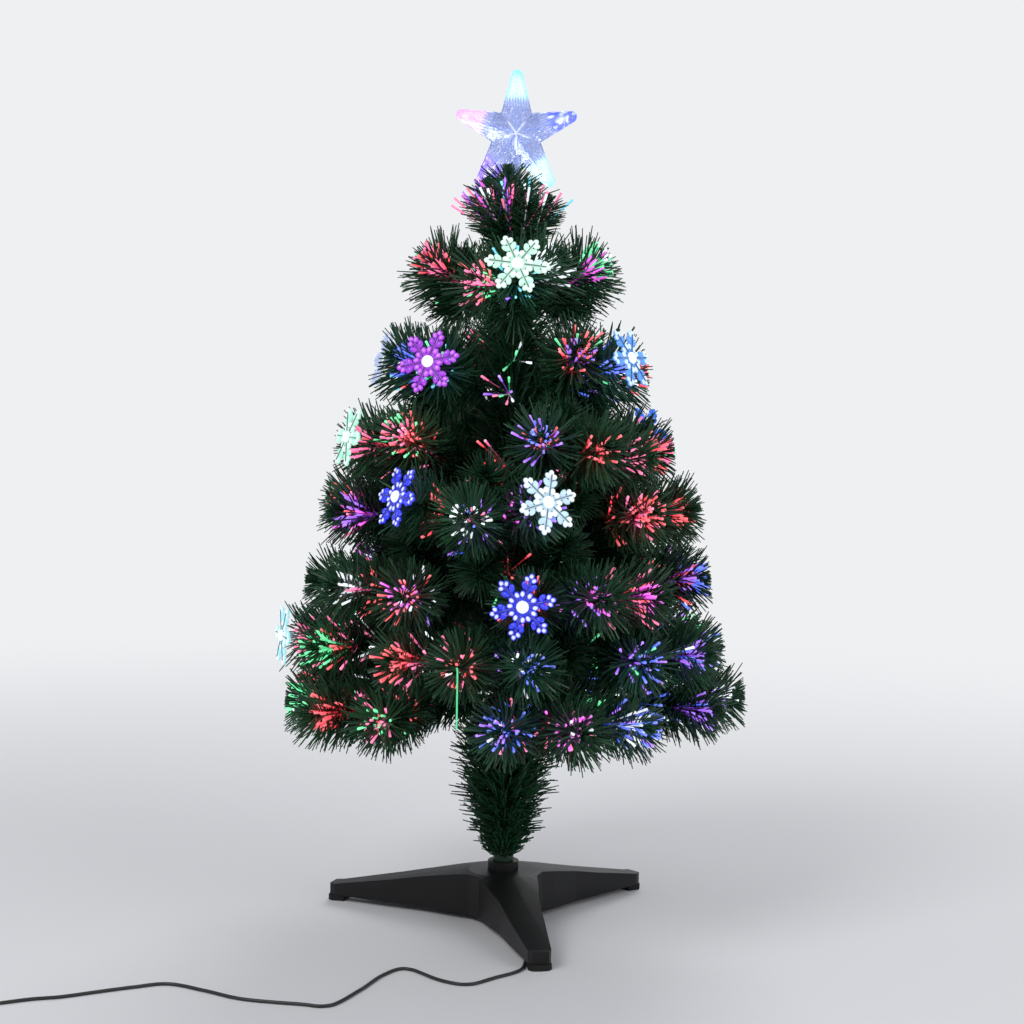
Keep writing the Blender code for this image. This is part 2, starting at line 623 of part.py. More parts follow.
def make_star():
    clear = finish("star_clear", (0.85, 0.92, 1.0), 0.08, alpha=0.45)
    holder = axis_empty("star_lift_axis", (0, 0, star_centre()))
    for name, side in (("star_front", -1), ("star_rear", 1)):
        shell = boolean(star_half(0, side), star_half(STAR_WALL, side), "DIFFERENCE")
        if side > 0:
            high = -STAR_NOTCH_RADIUS + STAR_WALL * 2
            low = -STAR_NOTCH_RADIUS - SOCKET_DROP
            middle = SOCKET_RADIUS + RUN_GAP / 2
            tube = rod((0, middle, low), (0, middle, high), SOCKET_RADIUS, 12)
            tube.transform(Matrix.Translation((0, -middle, 0)))
            cut_height = -STAR_NOTCH_RADIUS + SOCKET_DROP - SOCKET_RADIUS * 0.85
            front = box((SOCKET_RADIUS * 4, SOCKET_RADIUS * 2, SOCKET_DROP * 2),
                        (0, -SOCKET_RADIUS + RUN_GAP / 2, cut_height))
            tube = boolean(tube, front, "DIFFERENCE")
            shell = boolean(shell, tube, "UNION")
            bore = rod((0, 0, low - CUT_OVERRUN), (0, 0, low + SOCKET_DROP), SPIGOT_RADIUS, 12)
            shell = boolean(shell, bore, "DIFFERENCE")
        place(name, shell, clear, parent=holder)
    half = HARNESS_WIDTH / 2
    arm = STAR_RADIUS * STAR_LED_SHARE
    rise = (STAR_RIDGE_DEPTH - STAR_EDGE_DEPTH) * (1 - STAR_LED_SHARE) * 0.6
    led_depth = STAR_EDGE_DEPTH + rise - STAR_WALL - RUN_GAP
    outline = []
    for number in range(5):
        turn = Matrix.Rotation(math.radians(90 + 72 * number), 2)
        corners = ((half * 1.38, -half), (arm, -half), (arm, half), (half * 1.38, half))
        outline += [tuple(turn @ Vector(corner)) for corner in corners]
    harness = prism(outline, -HARNESS_DEPTH / 2, HARNESS_DEPTH / 2)
    for number in range(5):
        tip = polar(arm, 90 + 72 * number)
        deep = Vector((0, 0, led_depth))
        harness = boolean(harness, rod(tip - deep, tip + deep, STAR_LED_RADIUS, 6), "UNION")
    harness.transform(Matrix.Rotation(math.radians(90), 4, "X"))
    place("star_leds", harness, finish("led_epoxy", (0.9, 0.95, 1.0), 0.2), parent=holder)


# Lead
def smooth_route(points, step):
    """Points a step apart along a smooth curve through the given ones."""
    fine = []
    padded = [points[0] * 2 - points[1]] + points + [points[-1] * 2 - points[-2]]
    for before, here, there, after in zip(padded, padded[1:], padded[2:], padded[3:]):
        for count in range(40):
            t = count / 40
            fine.append(0.5 * ((2 * here) + (there - before) * t
                               + (2 * before - 5 * here + 4 * there - after) * t * t
                               + (3 * here - before - 3 * there + after) * t ** 3))
    fine.append(points[-1])
    total = sum((b - a).length for a, b in zip(fine, fine[1:]))
    count = max(2, round(total / step))
    picked = [fine[0]]
    walked, target = 0.0, total / count
    for a, b in zip(fine, fine[1:]):
        walked += (b - a).length
        if walked >= target * len(picked) and len(picked) < count:
            picked.append(b)
    picked.append(fine[-1])
    return picked, total


def tube(name, points, radius, resolution, material):
    curve = bpy.data.curves.new(name, "CURVE")
    curve.dimensions = "3D"
    curve.bevel_depth = radius
    curve.bevel_resolution = resolution
    curve.use_fill_caps = True
    spline = curve.splines.new("POLY")
    spline.points.add(len(points) - 1)
    for spot, point in zip(spline.points, points):
        spot.co = (*point, 1)
    item = bpy.data.objects.new(name, curve)
    bpy.context.collection.objects.link(item)
    curve.materials.append(material)
    return item


def coil_points(start, heading):
    """An unbroken coil that spirals in on the floor, climbs, and spirals out again on top."""
    side = Vector((-heading.y, heading.x, 0))
    wide = COIL_RADIUS + COIL_STEP * (COIL_TURNS / COIL_LAYERS - 1) / 2
    centre = start + heading * (4 * CORD_RADIUS) + side * wide
    per_turn = 24
    turns = COIL_TURNS / COIL_LAYERS
    base = math.atan2(-side.y, -side.x)
    points = [start + heading * RUN_GAP, start + heading * (4 * CORD_RADIUS)]
    total = COIL_TURNS * per_turn
    for count in range(1, total + 1):
        turn = count / per_turn
        layer_turn = turn if turn <= turns else COIL_TURNS - turn
        climb = min(1.0, max(0.0, (turn - turns + 0.25) / 0.5))
        radius = wide - COIL_STEP * layer_turn
        angle = base + math.tau * turn
        spot = Vector((radius * math.cos(angle), radius * math.sin(angle), COIL_STEP * climb))
        points.append(centre + spot)
    last, before = points[-1], points[-2]
    out = (last - before).normalized()
    points.append(last + out * (TAIL_LENGTH / 2))
    points.append(last + out * TAIL_LENGTH)
    return points, centre, out


def least_gap(points):
    """The smallest clear distance between runs of a tube that aren't neighbours along it."""
    fine = []
    for a, b in zip(points, points[1:]):
        fine += [a, (a + b) / 2]
    least = 1.0
    skip = 16
    for here, point in enumerate(fine):
        for other in fine[here + skip:]:
            least = min(least, (point - other).length)
    return least - 2 * CORD_RADIUS


def make_lead():
    dark = finish("lead_dark", (0.015, 0.02, 0.018), 0.5)
    heading = polar(1, LEG_ANGLES[2])
    grommet_height = COVER_HEIGHT - COVER_THICKNESS / 2
    start = polar(COVER_RADIUS, LEG_ANGLES[2]) + Vector((0, 0, grommet_height))
    near = start + heading * RUN_GAP
    grommet = rod(near, near + heading * GROMMET_LENGTH, COVER_THICKNESS, 10, CORD_RADIUS * 1.25)
    place("cord_grommet", grommet, dark)
    leave = start + heading * (GROMMET_LENGTH + 2 * RUN_GAP)
    leave.z = max(grommet_height, CORD_RADIUS)
    route = [leave, leave + heading * CORD_RADIUS * 3]
    route += [Vector((x, y, CORD_RADIUS)) for x, y in CORD_ROUTE]
    points, length = smooth_route(route, 6.6 * CORD_RADIUS)
    for point in points[1:]:
        point.z = max(CORD_RADIUS, point.z)
    last = points[-1]
    ahead = (last - points[-2]).normalized()
    points.append(last + ahead * (2 * CORD_RADIUS))
    tube("cord_lead", points, CORD_RADIUS, 2, dark)
    turns, centre, out = coil_points(points[-1], ahead)
    tube("cord_coil", turns, CORD_RADIUS, 1, dark)
    coil_length = sum((b - a).length for a, b in zip(turns, turns[1:]))
    print("cord metres", round(length, 3), "coil metres", round(coil_length, 3))
    print("least gap between turns", round(least_gap(turns), 6))
    make_tie(centre, ahead, dark)
    make_adapter(turns[-1], out)


def make_tie(centre, ahead, material):
    """A band round the bundle of turns, on the side away from the tail."""
    inner_wide = COIL_STEP * (COIL_TURNS / COIL_LAYERS - 1) + 2 * CORD_RADIUS
    wide = COIL_RADIUS + COIL_STEP * (COIL_TURNS / COIL_LAYERS - 1) / 2
    middle = wide - COIL_STEP * COIL_TURNS / COIL_LAYERS / 2
    tall = COIL_STEP + 2 * CORD_RADIUS
    half = inner_wide / 2 + 4 * RUN_GAP
    roof = tall + 4 * RUN_GAP + TIE_WALL
    outer = box((2 * (half + TIE_WALL), TIE_WIDTH, roof), (0, 0, roof / 2))
    inner = box((2 * half, TIE_WIDTH * 2, tall + 3 * RUN_GAP + CUT_OVERRUN),
                (0, 0, (tall + 3 * RUN_GAP - CUT_OVERRUN) / 2))
    band = boolean(outer, inner, "DIFFERENCE")
    side = Vector((-ahead.y, ahead.x, 0))
    spot = centre + side * middle
    spot.z = 0
    place("cord_tie", band, material, spot, math.atan2(side.y, side.x))


def make_adapter(cord_end, out):
    """A plain plug-in adapter on the floor, its outlet towards the coil, its pins on the far side."""
    plastic = finish("adapter_black", (0.015, 0.015, 0.017), 0.45)
    metal = finish("pin_metal", (0.75, 0.74, 0.7), 0.3, 1.0)
    turn = math.atan2(out.y, out.x)
    length, width, height = ADAPTER_SIZE
    bm = bmesh.new()
    bmesh.ops.create_cube(bm, size=1, matrix=Matrix.Diagonal((*ADAPTER_SIZE, 1)))
    bmesh.ops.bevel(bm, geom=list(bm.edges), offset=height / 8, segments=1,
                    affect="EDGES", profile=0.5, material=-1)
    bmesh.ops.translate(bm, verts=bm.verts, vec=(length / 2, 0, height / 2))
    case = mesh_of(bm, "case")
    relief = GROMMET_LENGTH
    level = cord_end.z
    sleeve = rod((-relief, 0, level), (height / 8, 0, level), CORD_RADIUS * 1.35, 10, GROMMET_RADIUS)
    case = boolean(case, sleeve, "UNION")
    start = cord_end + out * (RUN_GAP + relief)
    start.z = 0
    place("power_adapter", case, plastic, start, turn)
    pin_length, pin_width, pin_thick = PIN_SIZE
    for number, side in enumerate((-1, 1), 1):
        blade = box((pin_length, pin_thick, pin_width),
                    (length + RUN_GAP + pin_length / 2, side * PIN_SPACING / 2, height / 2))
        place(f"adapter_pin_{number}", blade, metal, start, turn)


clear_scene()
NEEDLE_GREEN = finish("needle_green", (0.012, 0.045, 0.022), 0.55)
make_stand()
make_foot_pads()
make_hub_fittings()
trunk_axis = make_trunk()
make_garland(trunk_axis)
make_crown(trunk_axis)
make_limbs(trunk_axis)
make_flakes(trunk_axis)
make_star()
make_lead()
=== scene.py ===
import math
import random

import bmesh
import bpy
from mathutils import Matrix, Vector, noise


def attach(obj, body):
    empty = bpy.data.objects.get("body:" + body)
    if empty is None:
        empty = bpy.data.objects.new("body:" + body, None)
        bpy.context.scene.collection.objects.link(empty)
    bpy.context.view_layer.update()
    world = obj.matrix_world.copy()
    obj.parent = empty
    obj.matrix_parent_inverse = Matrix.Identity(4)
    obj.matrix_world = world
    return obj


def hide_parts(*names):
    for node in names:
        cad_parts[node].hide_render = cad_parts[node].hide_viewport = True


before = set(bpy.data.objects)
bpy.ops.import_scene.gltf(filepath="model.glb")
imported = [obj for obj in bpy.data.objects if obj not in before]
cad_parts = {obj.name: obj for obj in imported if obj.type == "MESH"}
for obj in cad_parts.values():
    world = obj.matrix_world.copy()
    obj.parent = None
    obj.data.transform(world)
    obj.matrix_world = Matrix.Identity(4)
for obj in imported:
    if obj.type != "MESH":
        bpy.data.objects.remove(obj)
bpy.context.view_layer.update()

# The view: the camera stands a little above the middle of the tree, some two metres in front of it,
# tilted down and rolled by about a degree, as the photograph was taken.
CAMERA_PLACE = (0.0027, -2.257, 0.6338)
CAMERA_TILT = 4.97
CAMERA_ROLL = 1.03
CAMERA_LENS = 75.1
camera = bpy.data.objects.new("camera", bpy.data.cameras.new("camera"))
bpy.context.collection.objects.link(camera)
camera.data.lens = CAMERA_LENS
camera.data.sensor_width = 36
camera.data.clip_end = 60
camera.matrix_world = (
    Matrix.Translation(CAMERA_PLACE)
    @ Matrix.Rotation(math.radians(90 - CAMERA_TILT), 4, "X")
    @ Matrix.Rotation(math.radians(CAMERA_ROLL), 4, "Z")
)
bpy.context.scene.camera = camera
bpy.context.scene.view_settings.view_transform = "Standard"

# The room: a plain pale floor that runs off into a pale background, under large soft lamps.
FLOOR_COLOUR = (0.78, 0.78, 0.80, 1.0)
SKY_SEEN = (0.86, 0.87, 0.89, 1.0)
SKY_LIGHT = (0.62, 0.64, 0.68, 1.0)
FLOOR_HALF = 14
FADE_START, FADE_END = 0.45, 2.2
LAMPS_AIM = (0, 0, 0.42)


def node_material(name):
    """An empty Principled material, with its node tree and its shader."""
    material = bpy.data.materials.new(name)
    material.use_nodes = True
    return material, material.node_tree, material.node_tree.nodes["Principled BSDF"]


def feed(tree, node, inputs):
    """Give each of a node's inputs its constant, or link another node's output to it."""
    for name, value in inputs.items():
        if isinstance(value, bpy.types.NodeSocket):
            tree.links.new(value, node.inputs[name])
        else:
            node.inputs[name].default_value = value
    return node


def add_node(tree, kind, inputs):
    return feed(tree, tree.nodes.new(kind), inputs)


def maths(tree, operation, *values):
    """A sum on numbers, each of them a constant or another node's output."""
    node = tree.nodes.new("ShaderNodeMath")
    node.operation = operation
    return feed(tree, node, dict(enumerate(values))).outputs[0]


floor_mesh = bpy.data.meshes.new("floor")
floor_shape = bmesh.new()
bmesh.ops.create_grid(floor_shape, x_segments=1, y_segments=1, size=FLOOR_HALF)
floor_shape.to_mesh(floor_mesh)
floor_shape.free()
floor = bpy.data.objects.new("floor", floor_mesh)
bpy.context.collection.objects.link(floor)
floor_look, tree, shader = node_material("pale_floor")
feed(tree, shader, {"Base Color": FLOOR_COLOUR, "Roughness": 0.75})
coords = tree.nodes.new("ShaderNodeTexCoord")
away = add_node(tree, "ShaderNodeVectorMath", {0: coords.outputs["Object"]})
away.operation = "LENGTH"
fade = add_node(tree, "ShaderNodeMapRange",
                {"Value": away.outputs["Value"], "From Min": FADE_START, "From Max": FADE_END})
fade.interpolation_type = "SMOOTHSTEP"
eye = tree.nodes.new("ShaderNodeLightPath")
seen_share = maths(tree, "MULTIPLY", fade.outputs["Result"], eye.outputs["Is Camera Ray"])
haze = add_node(tree, "ShaderNodeEmission", {"Color": SKY_SEEN})
floor_mix = add_node(tree, "ShaderNodeMixShader", {0: seen_share, 1: shader.outputs[0], 2: haze.outputs[0]})
feed(tree, tree.nodes["Material Output"], {"Surface": floor_mix.outputs[0]})
floor_mesh.materials.append(floor_look)

world = bpy.data.worlds.new("studio")
bpy.context.scene.world = world
world.use_nodes = True
sky = world.node_tree
lit = feed(sky, sky.nodes["Background"], {"Color": SKY_LIGHT, "Strength": 0.55})
seen = add_node(sky, "ShaderNodeBackground", {"Color": SKY_SEEN})
path = sky.nodes.new("ShaderNodeLightPath")
either = maths(sky, "MAXIMUM", path.outputs["Is Camera Ray"], path.outputs["Is Transmission Ray"])
sky_mix = add_node(sky, "ShaderNodeMixShader", {0: either, 1: lit.outputs[0], 2: seen.outputs[0]})
feed(sky, sky.nodes["World Output"], {"Surface": sky_mix.outputs[0]})

for lamp_name, spot, size, power in (
    ("key", (-1.7, -2.1, 2.5), 1.6, 46),
    ("fill", (2.2, -1.6, 1.6), 2.0, 22),
    ("rim", (0.6, 2.4, 2.2), 1.6, 34),
):
    lamp = bpy.data.objects.new(lamp_name, bpy.data.lights.new(lamp_name, "AREA"))
    bpy.context.collection.objects.link(lamp)
    lamp.data.size = size
    lamp.data.energy = power
    lamp.location = spot
    lamp.rotation_euler = (Vector(LAMPS_AIM) - Vector(spot)).to_track_quat("-Z", "Y").to_euler()

# The lead: a thin dark two-core PVC cord, from the cover under the hub, under the raised front leg
# and in loose curves over the floor to the left. What the view doesn't show lies wound in a neat coil.
CORD_RADIUS = 0.0017
COVER_RADIUS = 0.031
GROMMET_LENGTH = 0.011
RUN_GAP = 0.0003
CORD_LEAVES = (281.4, 0.0031)
COIL_RADIUS, COIL_TURNS, COIL_LAYERS, COIL_STEP = 0.019, 6, 2, 0.0042
TAIL_LENGTH = 0.040
CORD_ROUTE = (
    (0.0100, -0.0550), (0.0182, -0.0900), (0.0245, -0.1250), (0.0262, -0.1500), (0.0235, -0.1750),
    (0.0205, -0.1950), (0.0110, -0.2090), (-0.0045, -0.2230), (-0.0313, -0.2470), (-0.0589, -0.2350),
    (-0.0930, -0.2000), (-0.1149, -0.2223), (-0.1338, -0.2707), (-0.1580, -0.3180), (-0.1864, -0.3158),
    (-0.2410, -0.3041), (-0.2779, -0.2821), (-0.3171, -0.2620), (-0.3494, -0.2740), (-0.3800, -0.2900),
    (-0.4110, -0.3070), (-0.4359, -0.3150), (-0.4628, -0.3286), (-0.4850, -0.3420), (-0.5050, -0.3520),
)


def polar(radius, degrees, height=0.0):
    angle = math.radians(degrees)
    return Vector((radius * math.cos(angle), radius * math.sin(angle), height))


def smooth_route(points, step):
    """Points a step apart along a smooth curve through the given ones."""
    fine = []
    padded = [points[0] * 2 - points[1]] + points + [points[-1] * 2 - points[-2]]
    for before, here, there, after in zip(padded, padded[1:], padded[2:], padded[3:]):
        for count in range(40):
            t = count / 40
            fine.append(0.5 * ((2 * here) + (there - before) * t
                               + (2 * before - 5 * here + 4 * there - after) * t * t
                               + (3 * here - before - 3 * there + after) * t ** 3))
    fine.append(points[-1])
    total = sum((b - a).length for a, b in zip(fine, fine[1:]))
    count = max(2, round(total / step))
    picked = [fine[0]]
    walked = 0.0
    for a, b in zip(fine, fine[1:]):
        walked += (b - a).length
        if walked >= total / count * len(picked) and len(picked) < count:
            picked.append(b)
    picked.append(fine[-1])
    return picked


def coil_points(start, heading, per_turn):
    """An unbroken coil that spirals in on the floor, climbs, and spirals out again on top."""
    side = Vector((-heading.y, heading.x, 0))
    wide = COIL_RADIUS + COIL_STEP * (COIL_TURNS / COIL_LAYERS - 1) / 2
    centre = start + heading * (4 * CORD_RADIUS) + side * wide
    turns = COIL_TURNS / COIL_LAYERS
    base = math.atan2(-side.y, -side.x)
    points = [start + heading * (4 * CORD_RADIUS)]
    for count in range(1, COIL_TURNS * per_turn + 1):
        turn = count / per_turn
        layer_turn = turn if turn <= turns else COIL_TURNS - turn
        climb = min(1.0, max(0.0, (turn - turns + 0.25) / 0.5))
        radius = wide - COIL_STEP * layer_turn
        angle = base + math.tau * turn
        points.append(centre + Vector((radius * math.cos(angle), radius * math.sin(angle), COIL_STEP * climb)))
    out = (points[-1] - points[-2]).normalized()
    end = points[-1]
    points += [end + out * (TAIL_LENGTH * share) for share in (0.25, 0.5, 0.75, 1.0)]
    return points


def pattern(tree, kind, scale, inputs=None):
    """A texture node on the piece's own coordinates."""
    coords = tree.nodes.new("ShaderNodeTexCoord")
    return add_node(tree, kind, {"Vector": coords.outputs["Object"], "Scale": scale, **(inputs or {})})


def tones(tree, factor, dark, light):
    """A colour between a dark and a light one."""
    ramp = add_node(tree, "ShaderNodeValToRGB", {"Fac": factor})
    ramp.color_ramp.elements[0].color = (*dark, 1)
    ramp.color_ramp.elements[1].color = (*light, 1)
    return ramp.outputs["Color"]


def relief(tree, shader, height, strength, distance):
    """A fine relief on the surface."""
    bump = add_node(tree, "ShaderNodeBump", {"Height": height, "Strength": strength, "Distance": distance})
    feed(tree, shader, {"Normal": bump.outputs["Normal"]})


heading = polar(1, CORD_LEAVES[0])
leave = polar(COVER_RADIUS, CORD_LEAVES[0], CORD_LEAVES[1]) + heading * (GROMMET_LENGTH + 2 * RUN_GAP)
route = [leave, leave + heading * CORD_RADIUS * 3]
route += [Vector((x, y, CORD_RADIUS)) for x, y in CORD_ROUTE]
lead_points = smooth_route(route, 6.6 * CORD_RADIUS)
for point in lead_points[1:]:
    point.z = max(CORD_RADIUS, point.z)
ahead = (lead_points[-1] - lead_points[-2]).normalized()
lead_points.append(lead_points[-1] + ahead * (2 * CORD_RADIUS))
lead_points = smooth_route(lead_points, 2 * CORD_RADIUS)
for point in lead_points[1:]:
    point.z = max(CORD_RADIUS, point.z)
lead_points += coil_points(lead_points[-1], ahead, 48)
lead_curve = bpy.data.curves.new("lead", "CURVE")
lead_curve.dimensions = "3D"
lead_curve.bevel_depth = CORD_RADIUS
lead_curve.bevel_resolution = 4
lead_curve.use_fill_caps = True
lead_line = lead_curve.splines.new("POLY")
lead_line.points.add(len(lead_points) - 1)
for spot, point in zip(lead_line.points, lead_points):
    spot.co = (*point, 1)
lead = bpy.data.objects.new("lead", lead_curve)
bpy.context.collection.objects.link(lead)
lead_look, tree, shader = node_material("lead_pvc_dark")
grain = pattern(tree, "ShaderNodeTexNoise", 240, {"Detail": 3}).outputs["Fac"]
lead_colour = tones(tree, grain, (0.010, 0.016, 0.014), (0.026, 0.034, 0.030))
feed(tree, shader, {"Base Color": lead_colour, "Roughness": 0.42})
relief(tree, shader, grain, 0.15, 0.0002)
lead_curve.materials.append(lead_look)
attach(lead, "stand")
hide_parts("cord_lead", "cord_coil")

# The branches: each limb is a twisted green wire that forks into three tips, wound with cut PVC strip,
# whose stiff needles lean forwards and end in a blunt brush. The factory makes them in seven sizes.
TIERS = (
    ("t1", 0.2349, 0.2320, 2, 20, (216, 288, 0, 72, 144), (0.0, 0.0)),
    ("t2", 0.2898, 0.2220, 4, 20, (186, 258, 330, 42, 114), (0.0, 0.0)),
    ("t3", 0.3429, 0.2120, 8, 22, (296, 218, 28, 120), (0.0, 0.0)),
    ("t4", 0.4113, 0.1849, 12, 24, (257, 347, 77, 167), (0.06, -0.04)),
    ("t5", 0.4770, 0.1694, 14, 22, (204, 303, 33, 123), (0.15, -0.08)),
    ("t6", 0.5571, 0.1350, 20, 21, (210, 326, 86), (0.26, -0.12)),
    ("t7", 0.6516, 0.0998, 26, 24, (272, 32, 152), (0.32, -0.12)),
)
HINGE_RADIUS = 0.018
FORK_SHARE = 0.36
SIDE_REACH_SHARE = 0.93
NEEDLE_LENGTHS = (0.0640, 0.0795)
NEEDLE_ROOT = 0.0023
NEEDLE_SWELL_AT, NEEDLE_SWELL, NEEDLE_CURL = 0.55, 1.15, 0.0032
NEEDLE_LEANS, END_LEANS = (50, 74), (6, 50)
WIRE_RADIUS = 0.0016
NEEDLES_A_METRE = 3900
GOLDEN_TURN = 2.39996
TWIG_TIERS = ("t3", "t4", "t5", "t6", "t7")
TWIG_START, TWIG_PITCH, TWIG_SCALE = 0.22, 38, 0.80
FLAKE_TIPS = {
    ("t7", 0, 0): 0.0, ("t6", 0, 1): 0.0, ("t6", 1, 0): 0.0, ("t5", 0, 0): 0.0, ("t4", 0, -1): 0.17,
    ("t4", 0, 1): 0.17, ("t3", 0, -1): -0.03, ("t2", 0, 0): 0.0, ("t6", 0, -1): 0.0, ("t5", 2, 0): 0.0,
    ("t3", 3, 0): 0.0,
}
FLAKE_YAWS = {("t2", 0, 0): 12}
FLAKE_OFF = 0.0121
NEEDLE_PROUD = 0.014
FLAKE_RADIUS = 0.034
FLAKE_CLEAR_SHARE, FLAKE_CLEAR_BEHIND, FLAKE_NEAR_SQUARED = 1.06, 0.0035, 0.0018
needle = bmesh.new()
bmesh.ops.create_cone(needle, cap_ends=True, segments=3, radius1=NEEDLE_ROOT / 2, radius2=NEEDLE_ROOT / 4.0,
                      depth=1, matrix=Matrix.Translation((0, 0, 0.5)))
bmesh.ops.bisect_plane(needle, geom=needle.verts[:] + needle.edges[:] + needle.faces[:],
                       plane_co=(0, 0, NEEDLE_SWELL_AT), plane_no=(0, 0, 1))
for vert in needle.verts:
    if 0.5 < vert.co.z < 0.6:
        vert.co.x *= NEEDLE_SWELL
        vert.co.y *= NEEDLE_SWELL
    vert.co.x += NEEDLE_CURL * vert.co.z ** 2
needle_mesh = bpy.data.meshes.new("needle")
needle.to_mesh(needle_mesh)
needle_points = len(needle.verts)
needle.free()


def tip_ends(tier, limb, which):
    """A tip's start and end on a level limb along +X from its hinge, the side tips bent up or down."""
    name, _, reach, _, splay, _, lifts = tier
    if which == 0:
        return Vector((0.004, 0, 0)), Vector((reach, 0, 0))
    fork = Vector((reach * FORK_SHARE, 0, 0))
    end = polar(HINGE_RADIUS + reach * SIDE_REACH_SHARE, splay * which) - Vector((HINGE_RADIUS, 0, 0))
    lift = lifts[0 if which == (-1 if limb % 2 else 1) else 1]
    end.z = (end - fork).length * FLAKE_TIPS.get((name, limb, which), lift)
    return fork, end


def limb_place(tier, azimuth):
    """Where a limb's hinge is on its ring, and how the limb is turned and raised there."""
    return (Matrix.Translation(polar(HINGE_RADIUS, azimuth, tier[1]))
            @ Matrix.Rotation(math.radians(azimuth), 4, "Z") @ Matrix.Rotation(-math.radians(tier[3]), 4, "Y"))


def flake_place(tier, limb, which):
    """Where the snowflake on a tip is: its plate square to the tip, past the ends of the needles."""
    start, end = tip_ends(tier, limb, which)
    ahead = (end - start).normalized()
    proud = NEEDLE_PROUD * (0.6 + 0.4 * tier[2] / TIERS[0][2])
    limb_at = limb_place(tier, tier[5][limb])
    turn = (Matrix.Rotation(math.radians(FLAKE_YAWS.get((tier[0], limb, which), 0)), 4, "Z")
            @ (limb_at.to_3x3() @ ahead).to_track_quat("Z", "Y").to_matrix().to_4x4())
    return Matrix.Translation(limb_at @ (end + ahead * (FLAKE_OFF - proud))) @ turn


FLAKE_PLACES = [flake_place(next(tier for tier in TIERS if tier[0] == name), limb, which)
                for name, limb, which in FLAKE_TIPS]
FLAKE_CLEAR = [(place.translation, place.inverted()) for place in FLAKE_PLACES]


def before_flake(point, flakes=FLAKE_CLEAR):
    """Whether a point is in a snowflake's plate or close in front of it, where no needle grows."""
    for centre, inside in flakes:
        if (point - centre).length_squared < FLAKE_NEAR_SQUARED:
            local = inside @ point
            if local.z > -FLAKE_CLEAR_BEHIND and math.hypot(local.x, local.y) < FLAKE_RADIUS * FLAKE_CLEAR_SHARE:
                return True
    return False


def clear_flakes(bm):
    """Take out each needle that would grow through a snowflake or in front of one."""
    bm.verts.ensure_lookup_table()
    low = [min(vert.co[axis] for vert in bm.verts) - 0.04 for axis in range(3)]
    high = [max(vert.co[axis] for vert in bm.verts) + 0.04 for axis in range(3)]
    flakes = [flake for flake in FLAKE_CLEAR if all(a < value < b for a, value, b in zip(low, flake[0], high))]
    grown = []
    for first in range(0, len(bm.verts) if flakes else 0, needle_points):
        points = bm.verts[first:first + needle_points]
        if any(before_flake(vert.co, flakes) for vert in points[::3]):
            grown += points
    bmesh.ops.delete(bm, geom=grown, context="VERTS")


def towards(start, end, base=Matrix.Identity(4)):
    """A place at start, with its X axis turned towards end."""
    return base @ Matrix.Translation(start) @ (end - start).to_track_quat("X", "Z").to_matrix().to_4x4()


def add_copy(bm, mesh, spot):
    """Add a copy of a mesh at a place, and give its points."""
    bm.from_mesh(mesh)
    bm.verts.ensure_lookup_table()
    fresh = bm.verts[-len(mesh.vertices):]
    bmesh.ops.transform(bm, matrix=spot, verts=fresh)
    return fresh


def attribute(tree, name):
    """What the mesh's points carry under a name."""
    node = tree.nodes.new("ShaderNodeAttribute")
    node.attribute_name = name
    return node


def finished(name, shape, look, body, slot, *nodes):
    """The object of a piece that is made, with the body that it rides on and the nodes that it stands for."""
    mesh = bpy.data.meshes.new(name)
    shape.to_mesh(mesh)
    shape.free()
    mesh.materials.append(look)
    piece = bpy.data.objects.new(name, mesh)
    bpy.context.collection.objects.link(piece)
    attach(piece, body)
    if nodes:
        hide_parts(*nodes)


def brush(length, bare, fullness, seed, needle):
    """One wound tip along +X: needles in a spiral that lean forwards, longest before the blunt end."""
    luck = random.Random(seed)
    tip = bmesh.new()
    shade = tip.verts.layers.float.new("shade")
    count = round((length - bare) * NEEDLES_A_METRE * fullness)
    for number in range(count):
        share = (number + luck.random()) / count
        along = bare + (length - bare) * share
        near_end = max(0.0, 1 - (length - along) / (needle * 0.62))
        lean = math.radians(luck.uniform(*NEEDLE_LEANS) * (1 - near_end) + luck.uniform(*END_LEANS) * near_end)
        size = needle * luck.uniform(0.84, 1.0)
        size *= 0.50 + 0.50 * min(1.0, share * 1.9 + 0.1)
        if near_end > 0:
            size = min(size, (length - along) / max(0.35, math.cos(lean)) * luck.uniform(0.86, 1.0) + 0.004)
        around = Matrix.Rotation(number * GOLDEN_TURN + luck.uniform(-0.2, 0.2), 4, "X")
        spot = (Matrix.Translation((along, 0, 0)) @ around
                @ Matrix.Rotation(math.pi / 2 - lean, 4, "Y")
                @ Matrix.Rotation(luck.uniform(-0.5, 0.5), 4, "Z") @ Matrix.Diagonal((1, 1, size, 1)))
        fresh = add_copy(tip, needle_mesh, spot)
        tone = luck.random()
        for vert in fresh:
            vert[shade] = tone
    mesh = bpy.data.meshes.new("wound_tip")
    tip.to_mesh(mesh)
    tip.free()
    return mesh


needle_look, tree, shader = node_material("needle_pvc")
patch = pattern(tree, "ShaderNodeTexNoise", 38, {"Detail": 2}).outputs["Fac"]
ramp = add_node(tree, "ShaderNodeValToRGB",
                {"Fac": maths(tree, "MULTIPLY_ADD", attribute(tree, "shade").outputs["Fac"], 0.55, patch)})
ramp.color_ramp.elements[0].position = 0.25
ramp.color_ramp.elements[0].color = (0.004, 0.020, 0.010, 1)
ramp.color_ramp.elements[1].position = 1.0
ramp.color_ramp.elements[1].color = (0.022, 0.100, 0.040, 1)
ramp.color_ramp.elements.new(0.62).color = (0.010, 0.050, 0.022, 1)
feed(tree, shader, {"Base Color": ramp.outputs["Color"], "Roughness": 0.42, "Specular IOR Level": 0.45})

